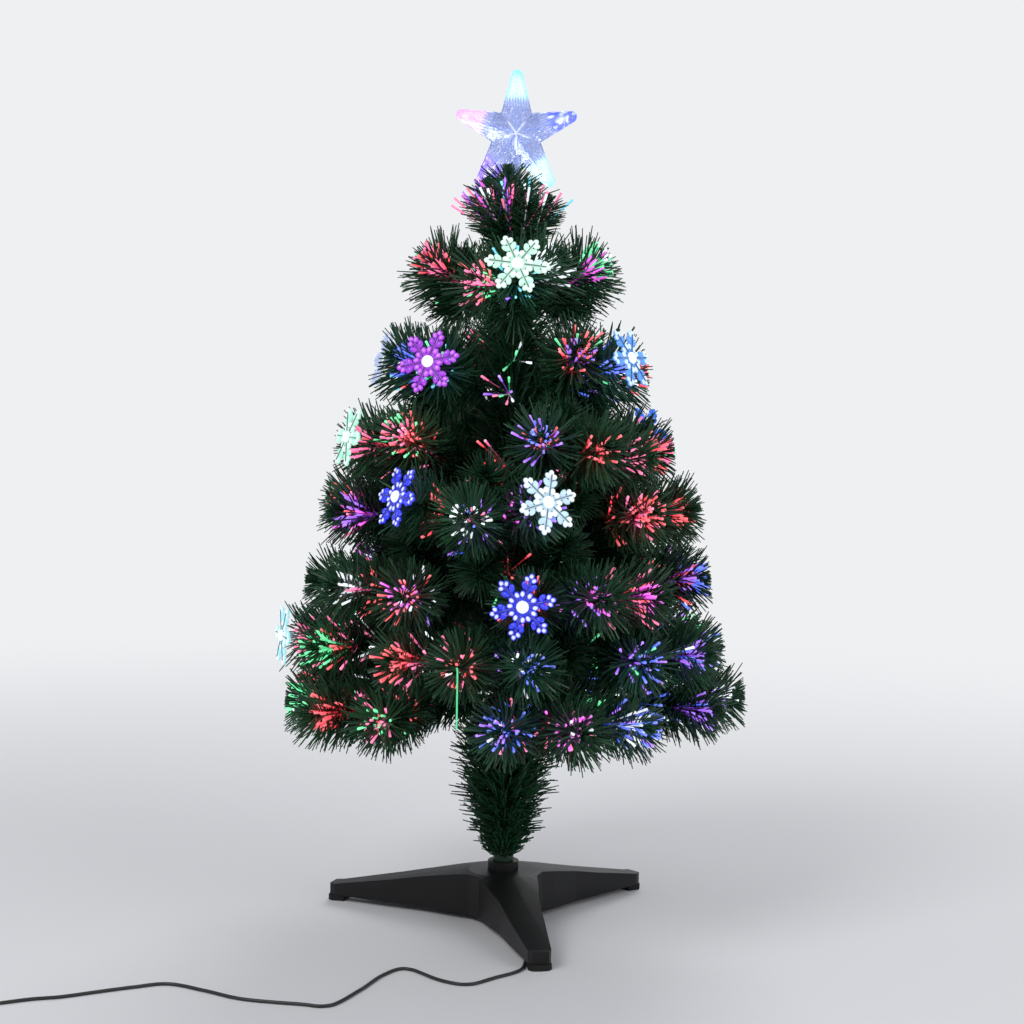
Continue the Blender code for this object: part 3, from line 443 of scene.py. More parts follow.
tips = {}
for number, tier in enumerate(TIERS):
    for side in (0, 1):
        start, end = tip_ends(tier, 0, side)
        run = (end - start).length
        bare = run * (0.07 if side == 0 else 0.02)
        needle = NEEDLE_LENGTHS[0] - NEEDLE_LENGTHS[1] * tier[2]
        tips[tier[0], side] = brush(run, bare, 0.88 + 0.12 * tier[2] / TIERS[0][2], 11 * number + side, needle)
for tier in TIERS:
    for limb, azimuth in enumerate(tier[5]):
        whole = bmesh.new()
        whole.verts.layers.float.new("shade")
        luck = random.Random(f"{tier[0]}{limb}")
        wires = []
        for which in (0, 1, -1):
            start, end = tip_ends(tier, limb, which)
            aim = towards(start, end)
            twist = Matrix.Rotation(luck.uniform(0, math.tau), 4, "X")
            add_copy(whole, tips[tier[0], abs(which)], aim @ twist)
            wires.append((aim, (end - start).length - 0.002))
        for pitch in (TWIG_PITCH, -TWIG_PITCH) if tier[0] in TWIG_TIERS else ():
            aim = (Matrix.Translation((tier[2] * TWIG_START, 0, 0))
                   @ Matrix.Rotation(-math.radians(pitch), 4, "Y")
                   @ Matrix.Rotation(luck.uniform(0, math.tau), 4, "X") @ Matrix.Scale(TWIG_SCALE, 4))
            add_copy(whole, tips[tier[0], 1], aim)
            wires.append((aim, tier[2] * 0.5))
        limb_at = limb_place(tier, azimuth)
        bmesh.ops.transform(whole, matrix=limb_at, verts=whole.verts)
        clear_flakes(whole)
        for aim, length in wires:
            along = Matrix.Rotation(math.pi / 2, 4, "Y") @ Matrix.Translation((0, 0, length / 2))
            bmesh.ops.create_cone(whole, cap_ends=True, segments=8, radius1=WIRE_RADIUS,
                                  radius2=WIRE_RADIUS * 0.6, depth=length, matrix=limb_at @ aim @ along)
        label = f"{tier[0]}_{limb + 1}"
        finished(f"needles_{label}", whole, needle_look, f"limb_{label}", "needles", f"branch_{label}")

# The trunk's sleeve: the same cut strip wound up the pole, from a narrow neck over the stand to a full
# bush under the lowest branches, and thinner between the branch rings, where it hides the pole.
SLEEVE = ((0.0680, 0.0230), (0.0800, 0.0350), (0.1000, 0.0470), (0.1380, 0.0600), (0.1650, 0.0610),
          (0.1900, 0.0590), (0.2150, 0.0540))
UPPER_SLEEVE = ((0.2400, 0.0480), (0.4000, 0.0520), (0.5600, 0.0520), (0.6600, 0.0480), (0.7050, 0.0380))
RING_HEIGHTS = [tier[1] for tier in TIERS]
RING_GAP = 0.004
POLE_SURFACE = 0.0108
SLEEVE_COUNTS = (1500, 2600)
SLEEVE_LEANS = (38, 94)
luck = random.Random(5)
sleeve = bmesh.new()
shade = sleeve.verts.layers.float.new("shade")
turn = 0.0
for profile, count in zip((SLEEVE, UPPER_SLEEVE), SLEEVE_COUNTS):
    low, high = profile[0][0], profile[-1][0]
    for number in range(count):
        level = low + (high - low) * (number + luck.random()) / count
        wide = next(a[1] + (b[1] - a[1]) * (level - a[0]) / (b[0] - a[0])
                    for a, b in zip(profile, profile[1:]) if level <= b[0])
        turn += GOLDEN_TURN + luck.uniform(-0.2, 0.2)
        if profile is UPPER_SLEEVE and min(abs(level - ring) for ring in RING_HEIGHTS) < RING_GAP:
            continue
        lean = math.radians(luck.uniform(*SLEEVE_LEANS))
        size = (wide - 0.0105) / math.sin(lean) * luck.uniform(0.56, 1.0)
        spot = (Matrix.Translation((0, 0, level)) @ Matrix.Rotation(turn, 4, "Z")
                @ Matrix.Translation((POLE_SURFACE, 0, 0)) @ Matrix.Rotation(lean, 4, "Y")
                @ Matrix.Rotation(math.pi + luck.uniform(-0.6, 0.6), 4, "Z") @ Matrix.Diagonal((1, 1, size, 1)))
        fresh = add_copy(sleeve, needle_mesh, spot)
        tone = luck.random()
        for vert in fresh:
            vert[shade] = tone
finished("trunk_needles", sleeve, needle_look, "trunk", "needles", "trunk_garland")

# The crown: a tuft of short wound tips that spread from the top of the pole round the spigot, in front of
# which the needles part for the star.
CROWN_FOOT = 0.7000
CROWN_TIPS = ((254, 0.028, 0.796), (296, 0.036, 0.768), (338, 0.038, 0.768), (20, 0.035, 0.770),
              (62, 0.030, 0.786), (98, 0.026, 0.794), (140, 0.034, 0.782), (178, 0.038, 0.770), (214, 0.034, 0.784))
CROWN_TIP_LENGTH, CROWN_BARE, CROWN_FULLNESS, CROWN_NEEDLE = 0.098, 0.006, 0.66, 0.041
CROWN_PARTS = ((24, 0.0110, 0.0088, 0.030, 0.7275), (20, 0.0031, 0.0029, 0.062, 0.7720))
STAR_ROOM_DEPTH, STAR_ROOM_LOW, STAR_ROOM_SIDE = 0.013, 0.774, 0.052
SOCKET_ROOM_LOW, SOCKET_ROOM_RADIUS = 0.757, 0.009
crown_tip = brush(CROWN_TIP_LENGTH, CROWN_BARE, CROWN_FULLNESS, 90, CROWN_NEEDLE)
crown = bmesh.new()
crown.verts.layers.float.new("shade")
for number, (azimuth, out, top) in enumerate(CROWN_TIPS):
    start, end = polar(0.004, azimuth, CROWN_FOOT), polar(out, azimuth, top)
    aim = (towards(start, end) @ Matrix.Rotation(number * 0.9, 4, "X")
           @ Matrix.Scale((end - start).length / CROWN_TIP_LENGTH, 4))
    add_copy(crown, crown_tip, aim)
crown.verts.ensure_lookup_table()
blocked = []
for first in range(0, len(crown.verts), needle_points):
    points = crown.verts[first:first + needle_points]
    if any(abs(vert.co.y) < STAR_ROOM_DEPTH and vert.co.z > STAR_ROOM_LOW and abs(vert.co.x) < STAR_ROOM_SIDE or
           vert.co.z > SOCKET_ROOM_LOW and math.hypot(vert.co.x, vert.co.y) < SOCKET_ROOM_RADIUS for vert in points):
        blocked += points
bmesh.ops.delete(crown, geom=blocked, context="VERTS")
for segments, low_radius, high_radius, depth, level in CROWN_PARTS:
    bmesh.ops.create_cone(crown, cap_ends=True, segments=segments, radius1=low_radius, radius2=high_radius,
                          depth=depth, matrix=Matrix.Translation((0, 0, level)))
finished("crown_needles", crown, needle_look, "trunk", "needles", "crown")

# The light fibres: clear plastic strands that leave the wires in little fans. Each ends in a thicker
# sleeve that catches the lamp's colour, so that the canopy is sprinkled with short bright dashes.
STALK_RADIUS = 0.0005
DASH_RADIUS = 0.0014
TIP_FANS = ((0.30, 11, (10, 42)), (0.55, 12, (8, 40)), (0.72, 14, (6, 32)), (1.0, 20, (1, 26)))
FAN_REACH, FAN_PAST_TIP, TIP_FAN_BACK = 0.053, 0.008, 0.055
CROWN_FANS = ((214, 0.040, 0.784, 12), (254, 0.030, 0.770, 9), (178, 0.046, 0.770, 10), (296, 0.040, 0.768, 4),
              (338, 0.046, 0.768, 5), (62, 0.032, 0.780, 8))
LONG_STRAND_LIMB = ("t2", 1)
LONG_STRAND = ((-0.0479, -0.2250, 0.3046), (-0.0470, -0.2410, 0.3078), (-0.0465, -0.2438, 0.3050),
               (-0.0465, -0.2440, 0.2490))
GLOWS = {
    "red": (1.0, 0.045, 0.075), "pink": (1.0, 0.13, 0.36), "magenta": (0.85, 0.06, 0.80),
    "violet": (0.36, 0.10, 1.0), "blue": (0.05, 0.13, 1.0), "cyan": (0.10, 0.72, 0.95),
    "green": (0.08, 0.85, 0.32), "white": (0.86, 0.92, 1.0),
}
GLOW_AREAS = (
    (lambda x, z: z > 0.74, ("pink", "magenta", "violet", "pink", "white", "cyan")),
    (lambda x, z: z > 0.62 and x < 0.0, ("red", "pink", "green", "violet", "pink", "red")),
    (lambda x, z: z > 0.62, ("green", "white", "cyan", "violet", "magenta", "white")),
    (lambda x, z: z > 0.55 and abs(x) > 0.07, ("blue", "violet", "white", "cyan", "red", "green")),
    (lambda x, z: z > 0.55, ("white", "green", "pink", "red", "pink", "violet")),
    (lambda x, z: z > 0.44 and abs(x) < 0.05, ("blue", "violet", "red", "pink", "white", "magenta")),
    (lambda x, z: z > 0.44, ("red", "pink", "red", "red", "pink", "green")),
    (lambda x, z: z > 0.33 and x > 0.17, ("violet", "magenta", "red", "violet", "blue", "pink")),
    (lambda x, z: z > 0.33, ("red", "pink", "red", "magenta", "white", "violet")),
    (lambda x, z: x > 0.10, ("blue", "violet", "blue", "violet", "white", "green")),
    (lambda x, z: x > -0.02, ("blue", "violet", "white", "magenta", "pink", "blue")),
    (lambda x, z: True, ("red", "pink", "red", "green", "white", "pink")),
)


def spread(tree, value, low, high, start=0.0, end=1.0):
    """A value between start and end, brought to the range from low to high."""
    node = add_node(tree, "ShaderNodeMapRange",
                    {"Value": value, "From Min": start, "From Max": end, "To Min": low, "To Max": high})
    return node.outputs["Result"]


def mixed(tree, factor, first, second):
    """A colour between two."""
    node = tree.nodes.new("ShaderNodeMix")
    node.data_type = "RGBA"
    return feed(tree, node, {"Factor": factor, "A": first, "B": second}).outputs["Result"]


fibre_look, tree, shader = node_material("light_fibre")
tint = attribute(tree, "glow")
uneven = spread(tree, pattern(tree, "ShaderNodeTexNoise", 420).outputs["Fac"], 0.55, 1.25)
feed(tree, shader, {
    "Base Color": mixed(tree, 0.72, tint.outputs["Color"], (0.09, 0.10, 0.11, 1)), "Roughness": 0.18,
    "Emission Color": tint.outputs["Color"],
    "Emission Strength": maths(tree, "MULTIPLY", tint.outputs["Alpha"], uneven)})


def fan(bm, glow, aim, foot, count, reach, leans, luck, tints):
    """A fan of strands from one point of the wire, each with its bright sleeve, palest at the tip."""
    first = luck.uniform(0, math.tau)
    for number in range(count):
        lean = math.radians(luck.uniform(*leans))
        length = reach * luck.uniform(0.72, 1.0)
        dash = min(0.018, length * 0.37) * luck.uniform(0.70, 1.0)
        base = (aim @ Matrix.Translation((foot, 0, 0)) @ Matrix.Rotation(first + number * GOLDEN_TURN, 4, "X")
                @ Matrix.Rotation(math.pi / 2 - lean, 4, "Y"))
        if before_flake(base @ Vector((0, 0, length))):
            continue
        colour = GLOWS[luck.choice(tints)]
        bright = luck.choice((0.9, 1.1, 1.3, 1.5))
        stalk = bmesh.ops.create_cone(bm, cap_ends=True, segments=5, radius1=STALK_RADIUS, radius2=STALK_RADIUS,
                                      depth=length, matrix=base @ Matrix.Translation((0, 0, length / 2)))
        sleeve = bmesh.ops.create_cone(bm, cap_ends=True, segments=7, radius1=DASH_RADIUS * 0.7,
                                       radius2=DASH_RADIUS, depth=dash,
                                       matrix=base @ Matrix.Translation((0, 0, length - dash * 0.45)))
        for vert in stalk["verts"]:
            vert[glow] = (*colour, 0.35)
        root = base.to_translation()
        pale = [0.13 + 0.87 * share for share in colour]
        for vert in sleeve["verts"]:
            vert[glow] = (*(pale if (vert.co - root).length > length - dash * 0.45 else colour), bright)


for tier in TIERS:
    for limb, azimuth in enumerate(tier[5]):
        luck = random.Random(f"fan{tier[0]}{limb}")
        strands = bmesh.new()
        glow = strands.verts.layers.float_color.new("glow")
        for which in (0, 1, -1):
            start, end = tip_ends(tier, limb, which)
            aim = towards(start, end, limb_place(tier, azimuth))
            length = (end - start).length
            middle = aim @ Vector((length * 0.8, 0, 0))
            tints = next(names for inside, names in GLOW_AREAS if inside(middle.x, middle.z))
            for foot, count, leans in TIP_FANS:
                mood = [luck.choice(tints)] * 5 + [luck.choice(tints)]
                kept = luck.random() < (0.95 if foot == 1.0 else 0.72)
                if 0.33 < middle.z < 0.56 and abs(middle.x) > 0.06:
                    count = round(count * 1.25)
                reach = FAN_REACH if foot == 1.0 else min(FAN_REACH, length * (1 - foot) + FAN_PAST_TIP)
                if kept and not (foot == 1.0 and (tier[0], limb, which) in FLAKE_TIPS):
                    fan(strands, glow, aim, length * foot - (TIP_FAN_BACK if foot == 1.0 else 0), count, reach,
                        leans, luck, mood)
        if (tier[0], limb) == LONG_STRAND_LIMB:
            for here, there in zip(LONG_STRAND, LONG_STRAND[1:]):
                run = Vector(there) - Vector(here)
                along = (Matrix.Translation((Vector(here) + Vector(there)) / 2)
                         @ run.to_track_quat("Z", "Y").to_matrix().to_4x4())
                piece = bmesh.ops.create_cone(strands, cap_ends=True, segments=7, radius1=DASH_RADIUS * 0.6,
                                              radius2=DASH_RADIUS * 0.6, depth=run.length, matrix=along)
                for vert in piece["verts"]:
                    vert[glow] = (*GLOWS["green"], 0.8)
        label = f"{tier[0]}_{limb + 1}"
        finished(f"fibres_{label}", strands, fibre_look, f"limb_{label}", "light_fibre")

# The crown's own fibres stand between its needles, most of them on the left of the view.
luck = random.Random(77)
strands = bmesh.new()
glow = strands.verts.layers.float_color.new("glow")
for azimuth, out, top, count in CROWN_FANS:
    start, end = polar(0.004, azimuth, CROWN_FOOT), polar(out, azimuth, top)
    fan(strands, glow, towards(start, end), (end - start).length * 0.46, count, 0.054, (2, 30), luck,
        GLOW_AREAS[0][1])
finished("fibres_crown", strands, fibre_look, "trunk", "light_fibre")

# More strands leave the pole itself and stand out of its sleeve where the branches leave it open.
TRUNK_FANS = (
    (262, 0.640, 30, 0.060, 10, ("violet", "blue", "white", "green", "pink")),
    (280, 0.596, 12, 0.060, 4, ("white", "green")), (258, 0.562, 4, 0.064, 9, ("green", "pink", "white", "violet")),
    (256, 0.484, 4, 0.084, 10, ("red", "red", "pink")), (232, 0.418, 6, 0.090, 9, ("violet", "pink", "white")),
    (268, 0.372, 10, 0.088, 8, ("pink", "white", "red", "green")),
    (88, 0.600, 20, 0.062, 9, ("blue", "pink", "green")), (60, 0.500, 8, 0.080, 9, ("red", "pink", "white")),
    (118, 0.400, 8, 0.085, 9, ("violet", "blue", "pink")),
)
luck = random.Random(41)
strands = bmesh.new()
glow = strands.verts.layers.float_color.new("glow")
for azimuth, height, pitch, reach, count, tints in TRUNK_FANS:
    aim = (Matrix.Translation((0, 0, height)) @ Matrix.Rotation(math.radians(azimuth), 4, "Z")
           @ Matrix.Rotation(-math.radians(pitch), 4, "Y"))
    fan(strands, glow, aim, 0.010, count, reach, (4, 30), luck, tints)
finished("fibres_trunk", strands, fibre_look, "trunk", "light_fibre")

# The snowflakes: moulded clear plastic, each on a short post at the end of a tip, with a lamp in the
# middle that lights it. Six arms with a thin spine carry pairs of beads, and petals stand between them.
# The tops of the outer beads and of the petals are painted in a paler colour as a painted highlight, and the rest of
# each bead glows a little dimmer as painted shade.
FLAKE_DEPTH = 0.0036
FLAKE_LAMP_RADIUS, FLAKE_LAMP_LOW, FLAKE_LAMP_TOP = 0.0062, 0.0012, 0.0058
FLAKE_POST_RADIUS, FLAKE_POST_LENGTH = 0.0035, 0.0100
ARM_BEADS = (
    (0.600, 0.125, 0.135, 0.085, 38), (0.600, -0.125, 0.135, 0.085, -38),
    (0.800, 0.105, 0.100, 0.080, 50), (0.800, -0.105, 0.100, 0.080, -50), (0.900, 0.000, 0.100, 0.085, 0),
)
PETAL_BEADS = ((0.360, 0.082, 0.115, 0.088, 22), (0.360, -0.082, 0.115, 0.088, -22))
DISC_SHARE = 0.30
ARM_SPAN, ARM_HALF_WIDTH, ARM_LEVELS = (0.15, 0.93), 0.042, (-0.0011, 0.0013)
SPINE_SPAN, SPINE_HALF_WIDTH, SPINE_LEVELS = (0.20, 0.86), 0.013, (0.0010, 0.0021)
PIP_OUT, PIP_SIZE = 0.285, 0.026
WHITE_GLOW = (0.90, 0.96, 1.0)
# Each snowflake's body colour, the paler colour of the painted highlight on its bead tops, and the share of a bead's
# height above which that painted highlight starts.
FLAKE_TINTS_AND_HIGHLIGHTS = (
    ((0.62, 1.0, 0.80), (0.86, 1.0, 0.93), 0.5), ((0.40, 0.02, 0.80), (0.66, 0.16, 0.96), 0.8),
    ((0.10, 0.36, 1.0), (0.70, 0.90, 1.0), 0.5), ((0.48, 1.0, 0.76), (0.84, 1.0, 0.94), 0.5),
    ((0.010, 0.018, 0.88), (0.80, 0.85, 1.0), 0.8), ((0.60, 0.84, 1.0), (0.94, 0.98, 1.0), 0.5),
    ((0.010, 0.018, 0.88), (0.80, 0.85, 1.0), 0.8), ((0.45, 0.90, 1.0), (0.88, 0.98, 1.0), 0.5),
    ((0.62, 0.72, 1.0), (0.92, 0.95, 1.0), 0.5), ((0.05, 0.22, 1.0), (0.60, 0.74, 1.0), 0.8),
    ((0.60, 0.03, 0.62), (0.95, 0.50, 0.90), 0.8),
)
FLAKE_TURNS = (-7, 13, 0, 0, 0, 13, 15, 0, 0, 0, 0)
flake_look, tree, shader = node_material("snowflake_plastic")
tint = attribute(tree, "glow")
frost = pattern(tree, "ShaderNodeTexVoronoi", 620).outputs["Distance"]
glint = spread(tree, frost, 0.85, 0.0, 0.10, 0.22)
uneven = spread(tree, pattern(tree, "ShaderNodeTexNoise", 150).outputs["Fac"], 0.60, 1.10)
clear_body = mixed(tree, 0.30, tint.outputs["Color"], (0.30, 0.32, 0.36, 1))
feed(tree, shader, {
    "Base Color": mixed(tree, 0.62, clear_body, (0.02, 0.03, 0.05, 1)), "Roughness": 0.22,
    "Emission Color": mixed(tree, glint, tint.outputs["Color"], (*WHITE_GLOW, 1)),
    "Emission Strength": maths(tree, "MULTIPLY", tint.outputs["Alpha"], uneven)})
relief(tree, shader, frost, 0.35, 0.0004)


def bar(bm, span, half_width, levels):
    """A plain bar along an arm, in shares of the snowflake's radius, between two levels."""
    low = Vector((span[0] * FLAKE_RADIUS, -half_width * FLAKE_RADIUS, levels[0]))
    high = Vector((span[1] * FLAKE_RADIUS, half_width * FLAKE_RADIUS, levels[1]))
    spot = Matrix.Translation((low + high) / 2) @ Matrix.Diagonal((*(high - low), 1))
    return bmesh.ops.create_cube(bm, size=1, matrix=spot)


for number, (place, (tint_body, bead_top_highlight, highlight_from_share), twist) in enumerate(
        zip(FLAKE_PLACES, FLAKE_TINTS_AND_HIGHLIGHTS, FLAKE_TURNS), 1):
    flake = bmesh.new()
    glow = flake.verts.layers.float_color.new("glow")

    def paint(made, colour, strength):
        for vert in made["verts"]:
            vert[glow] = (*colour, strength)

    def bead(turn, along, off, long, wide, tilt, colour, strength):
        spot = (turn @ Matrix.Translation((along * FLAKE_RADIUS, off * FLAKE_RADIUS, 0))
                @ Matrix.Rotation(math.radians(tilt), 4, "Z")
                @ Matrix.Diagonal((long * FLAKE_RADIUS, wide * FLAKE_RADIUS, FLAKE_DEPTH * 0.56, 1)))
        made = bmesh.ops.create_uvsphere(flake, u_segments=12, v_segments=7, radius=1, matrix=spot)
        paint(made, tint_body, strength * 0.9)
        # The bead glows in the body colour a little dimmer as painted shade, and its top is painted brighter in the
        # given colour as a painted highlight.
        top = max(vert.co.z for vert in made["verts"])
        paint({"verts": [vert for vert in made["verts"] if vert.co.z > top * highlight_from_share]}, colour, strength)

    paint(bmesh.ops.create_cone(flake, cap_ends=True, segments=28, radius1=FLAKE_RADIUS * DISC_SHARE,
                                radius2=FLAKE_RADIUS * DISC_SHARE, depth=FLAKE_DEPTH * 0.7), tint_body, 0.80)
    for arm in range(6):
        turn = Matrix.Rotation(arm * math.pi / 3, 4, "Z")
        made = bar(flake, ARM_SPAN, ARM_HALF_WIDTH, ARM_LEVELS)
        paint(made, tint_body, 0.75)
        bmesh.ops.transform(flake, matrix=turn, verts=made["verts"])
        made = bar(flake, SPINE_SPAN, SPINE_HALF_WIDTH, SPINE_LEVELS)
        paint(made, [share * 0.30 for share in tint_body], 0.30)
        bmesh.ops.transform(flake, matrix=turn, verts=made["verts"])
        for count, (along, off, long, wide, tilt) in enumerate(ARM_BEADS):
            bead(turn, along, off, long, wide, tilt, bead_top_highlight if count > 1 else tint_body, 0.95)
        turn = turn @ Matrix.Rotation(math.pi / 6, 4, "Z")
        for along, off, long, wide, tilt in PETAL_BEADS:
            bead(turn, along, off, long, wide, tilt, bead_top_highlight, 1.0)
        bead(turn, PIP_OUT, 0, PIP_SIZE, PIP_SIZE, 0, [share * 0.2 for share in tint_body], 0.2)
    flat = (FLAKE_LAMP_TOP - FLAKE_LAMP_LOW) / FLAKE_LAMP_RADIUS
    lamp = Matrix.Translation((0, 0, FLAKE_LAMP_LOW)) @ Matrix.Diagonal((1, 1, flat, 1))
    paint(bmesh.ops.create_uvsphere(flake, u_segments=20, v_segments=12, radius=FLAKE_LAMP_RADIUS, matrix=lamp),
          WHITE_GLOW, 1.05)
    foot = -FLAKE_DEPTH / 2 - FLAKE_POST_LENGTH
    paint(bmesh.ops.create_cone(flake, cap_ends=True, segments=14, radius1=FLAKE_POST_RADIUS * 0.86,
                                radius2=FLAKE_POST_RADIUS, depth=-foot, matrix=Matrix.Translation((0, 0, foot / 2))),
          tint_body, 0.25)
    bmesh.ops.transform(flake, matrix=place @ Matrix.Rotation(math.radians(twist), 4, "Z"), verts=flake.verts)
    for face in flake.faces:
        face.smooth = True
    name, limb, which = list(FLAKE_TIPS)[number - 1]
    finished(f"lit_snowflake_{number}", flake, flake_look, f"limb_{name}_{limb + 1}", "snowflake_plastic",
             f"snowflake_{number}")

# The star: two clear moulded halves with a sugared surface, flutes along the arms and short creases from the
# middle. The lamps inside light the outer half of each arm in its own colour.
STAR_CENTRE = 0.834
STAR_RADIUS, STAR_NOTCH = 0.066, 0.027
STAR_EDGE, STAR_RIDGE = 0.0036, 0.0095
STAR_TIP_ROUND = 0.0058
STAR_SOCKET_RADIUS, STAR_SOCKET_BORE, STAR_SOCKET_LOW = 0.0062, 0.0037, 0.0430
STAR_ACROSS, STAR_ALONG = 28, 80
FLUTE_STEP, FLUTE_DEPTH = 0.0029, 0.00035
FLUTES_START, FLUTES_FULL, FLUTES_FADE, FLUTES_END = 0.0255, 0.0300, 0.0420, 0.0460
CREASE_WIDTH, CREASE_HEIGHT, CREASE_FADE, CREASE_END = 0.0009, 0.0011, 0.0110, 0.0180
LIT_START, LIT_FULL, LIT_TEETH = 0.0350, 0.0420, 0.0045
SPOT_SHARE, SPOT_LONG, SPOT_WIDE = 0.74, 0.0052, 0.0030
RIPPLE, RIM_ROUND = 0.0005, 0.0018
FAINT_BODY, FAINT_RIDGE = (0.36, 0.46, 0.92), (0.92, 0.94, 1.0)
STAR_ARMS = (
    (90, (0.62, 0.98, 1.0), (0.10, 0.72, 1.0), 0.0), (18, (0.80, 0.90, 1.0), (0.02, 0.05, 1.0), 1.0),
    (-54, (0.66, 0.98, 1.0), (0.25, 0.82, 1.0), 0.0), (234, (0.86, 0.80, 1.0), (0.26, 0.08, 0.95), 1.0),
    (162, (1.0, 0.60, 0.80), (0.80, 0.26, 0.85), 0.6),
)


def star_edge(angle):
    """How far the star's outline is from its middle, at an angle from an arm's own line."""
    notch = Vector((math.cos(math.radians(36)), math.sin(math.radians(36)))) * STAR_NOTCH
    middle = Vector((STAR_RADIUS - STAR_TIP_ROUND, 0))
    reach = (middle - notch).length
    slope = math.atan2(-notch.y, middle.x - notch.x) + math.asin(STAR_TIP_ROUND / reach)
    flank = Vector((math.cos(slope), math.sin(slope))) * math.sqrt(reach ** 2 - STAR_TIP_ROUND ** 2)
    touch = notch + flank
    if angle < math.atan2(touch.y, touch.x):
        return middle.x * math.cos(angle) + math.sqrt(STAR_TIP_ROUND ** 2 - (middle.x * math.sin(angle)) ** 2)
    return (notch.x * flank.y - notch.y * flank.x) / (math.cos(angle) * flank.y - math.sin(angle) * flank.x)


def ramp_up(value, low, high):
    share = min(1.0, max(0.0, (value - low) / (high - low)))
    return share * share * (3 - 2 * share)


star = bmesh.new()
glow = star.verts.layers.float_color.new("glow")
bands = []
for direction, core, edge_tint, spotted in STAR_ARMS:
    for step in range(-STAR_ACROSS, STAR_ACROSS):
        bands.append((direction, math.radians(36) * math.copysign(abs(step / STAR_ACROSS) ** 1.3, step),
                      core, edge_tint, spotted))
bands.sort(key=lambda band: math.radians(band[0]) + band[1])
for side in (-1, 1):
    rings = []
    for direction, off_line, core, edge_tint, spotted in bands:
        rim = star_edge(abs(off_line))
        ring = []
        for count in range(1, STAR_ALONG + 1):
            share = count / STAR_ALONG
            along, across = rim * share * math.cos(off_line), rim * share * math.sin(off_line)
            depth = STAR_RIDGE + (STAR_EDGE - STAR_RIDGE) * share
            off_crease = rim * share * math.sin(math.radians(36) - abs(off_line))
            crease = math.exp(-(off_crease / CREASE_WIDTH) ** 2) * (1 - ramp_up(rim * share, CREASE_FADE, CREASE_END))
            depth += CREASE_HEIGHT * crease
            window = (ramp_up(along, FLUTES_START, FLUTES_FULL)
                      * (1 - ramp_up(along, FLUTES_FADE, FLUTES_END)))
            flute = 0.5 + 0.5 * math.cos(math.tau * across / FLUTE_STEP)
            depth += FLUTE_DEPTH * (2 * flute - 1) * window
            depth += RIPPLE * noise.noise(Vector((along * 150, off_line * 20, direction + side))) * (1 - window)
            depth -= RIM_ROUND * ramp_up(share, 0.94, 1.0)
            angle = math.radians(direction) + off_line
            vert = star.verts.new((rim * share * math.cos(angle), side * depth,
                                   STAR_CENTRE + rim * share * math.sin(angle)))
            lit_arm = ramp_up(along + LIT_TEETH * flute, LIT_START, LIT_FULL)
            spot = math.exp(-((along - SPOT_SHARE * STAR_RADIUS) / SPOT_LONG) ** 2 - (across / SPOT_WIDE) ** 2)
            patch = 0.5 + 0.5 * noise.noise(Vector((along * 190, across * 240, direction)))
            core_share = max(spot, ramp_up(patch, 0.56, 0.64)) if spotted == 1.0 else 1 - spotted * spot
            core_share *= 1 - (0.8 if spotted < 1 else 0.3) * ramp_up(share, 0.80, 1.0)
            lit_tint = [a * core_share + b * (1 - core_share) for a, b in zip(core, edge_tint)]
            fleck = 0.5 + 0.5 * noise.noise(Vector((along * 260, off_line * 26, side * 5.0 + direction)))
            ridge = max(crease, 0.75 * ramp_up(fleck, 0.60, 0.82), 0.30 * flute * window)
            faint = [a * (1 - ridge) + b * ridge for a, b in zip(FAINT_BODY, FAINT_RIDGE)]
            vert[glow] = (*[a * (1 - lit_arm) + b * lit_arm for a, b in zip(faint, lit_tint)],
                          0.06 + 0.55 * ridge * (1 - lit_arm) + lit_arm * 0.62)
            ring.append(vert)
        rings.append(ring)
    hub = star.verts.new((0, side * (STAR_RIDGE + 0.0008), STAR_CENTRE))
    hub[glow] = (*FAINT_RIDGE, 0.6)
    for here, there in zip(rings, rings[1:] + rings[:1]):
        star.faces.new((hub, here[0], there[0]) if side > 0 else (hub, there[0], here[0]))
        for a, b, c, d in zip(here, here[1:], there[1:], there):
            star.faces.new((a, b, c, d) if side > 0 else (d, c, b, a))
    if side < 0:
        front_rim = [ring[-1] for ring in rings]
    else:
        rear_rim = [ring[-1] for ring in rings]
for a, b, c, d in zip(front_rim, front_rim[1:] + front_rim[:1], rear_rim[1:] + rear_rim[:1], rear_rim):
    star.faces.new((d, c, b, a))
bmesh.ops.recalc_face_normals(star, faces=star.faces)
socket_top = STAR_CENTRE - STAR_NOTCH + 0.0050
socket_low = STAR_CENTRE - STAR_SOCKET_LOW
profile = [(STAR_SOCKET_BORE, socket_low), (STAR_SOCKET_RADIUS, socket_low), (STAR_SOCKET_RADIUS, socket_top),
           (STAR_SOCKET_BORE, socket_top)]
made = [star.verts.new((radius, 0, level)) for radius, level in profile]
loop = [star.edges.new(pair) for pair in zip(made, made[1:] + made[:1])]
for vert in made:
    vert[glow] = (0.40, 0.50, 0.92, 0.12)
bmesh.ops.spin(star, geom=made + loop, cent=(0, 0, 0), axis=(0, 0, 1), angle=math.tau, steps=28, use_merge=True)
for face in star.faces:
    face.smooth = True
star_look, tree, shader = node_material("star_plastic")
tint = attribute(tree, "glow")
sugar = pattern(tree, "ShaderNodeTexVoronoi", 310).outputs["Distance"]
facet = spread(tree, sugar, 1.15, 0.55, 0.0, 0.7)
clear = tones(tree, sugar, (0.26, 0.34, 0.66), (0.78, 0.84, 0.98))
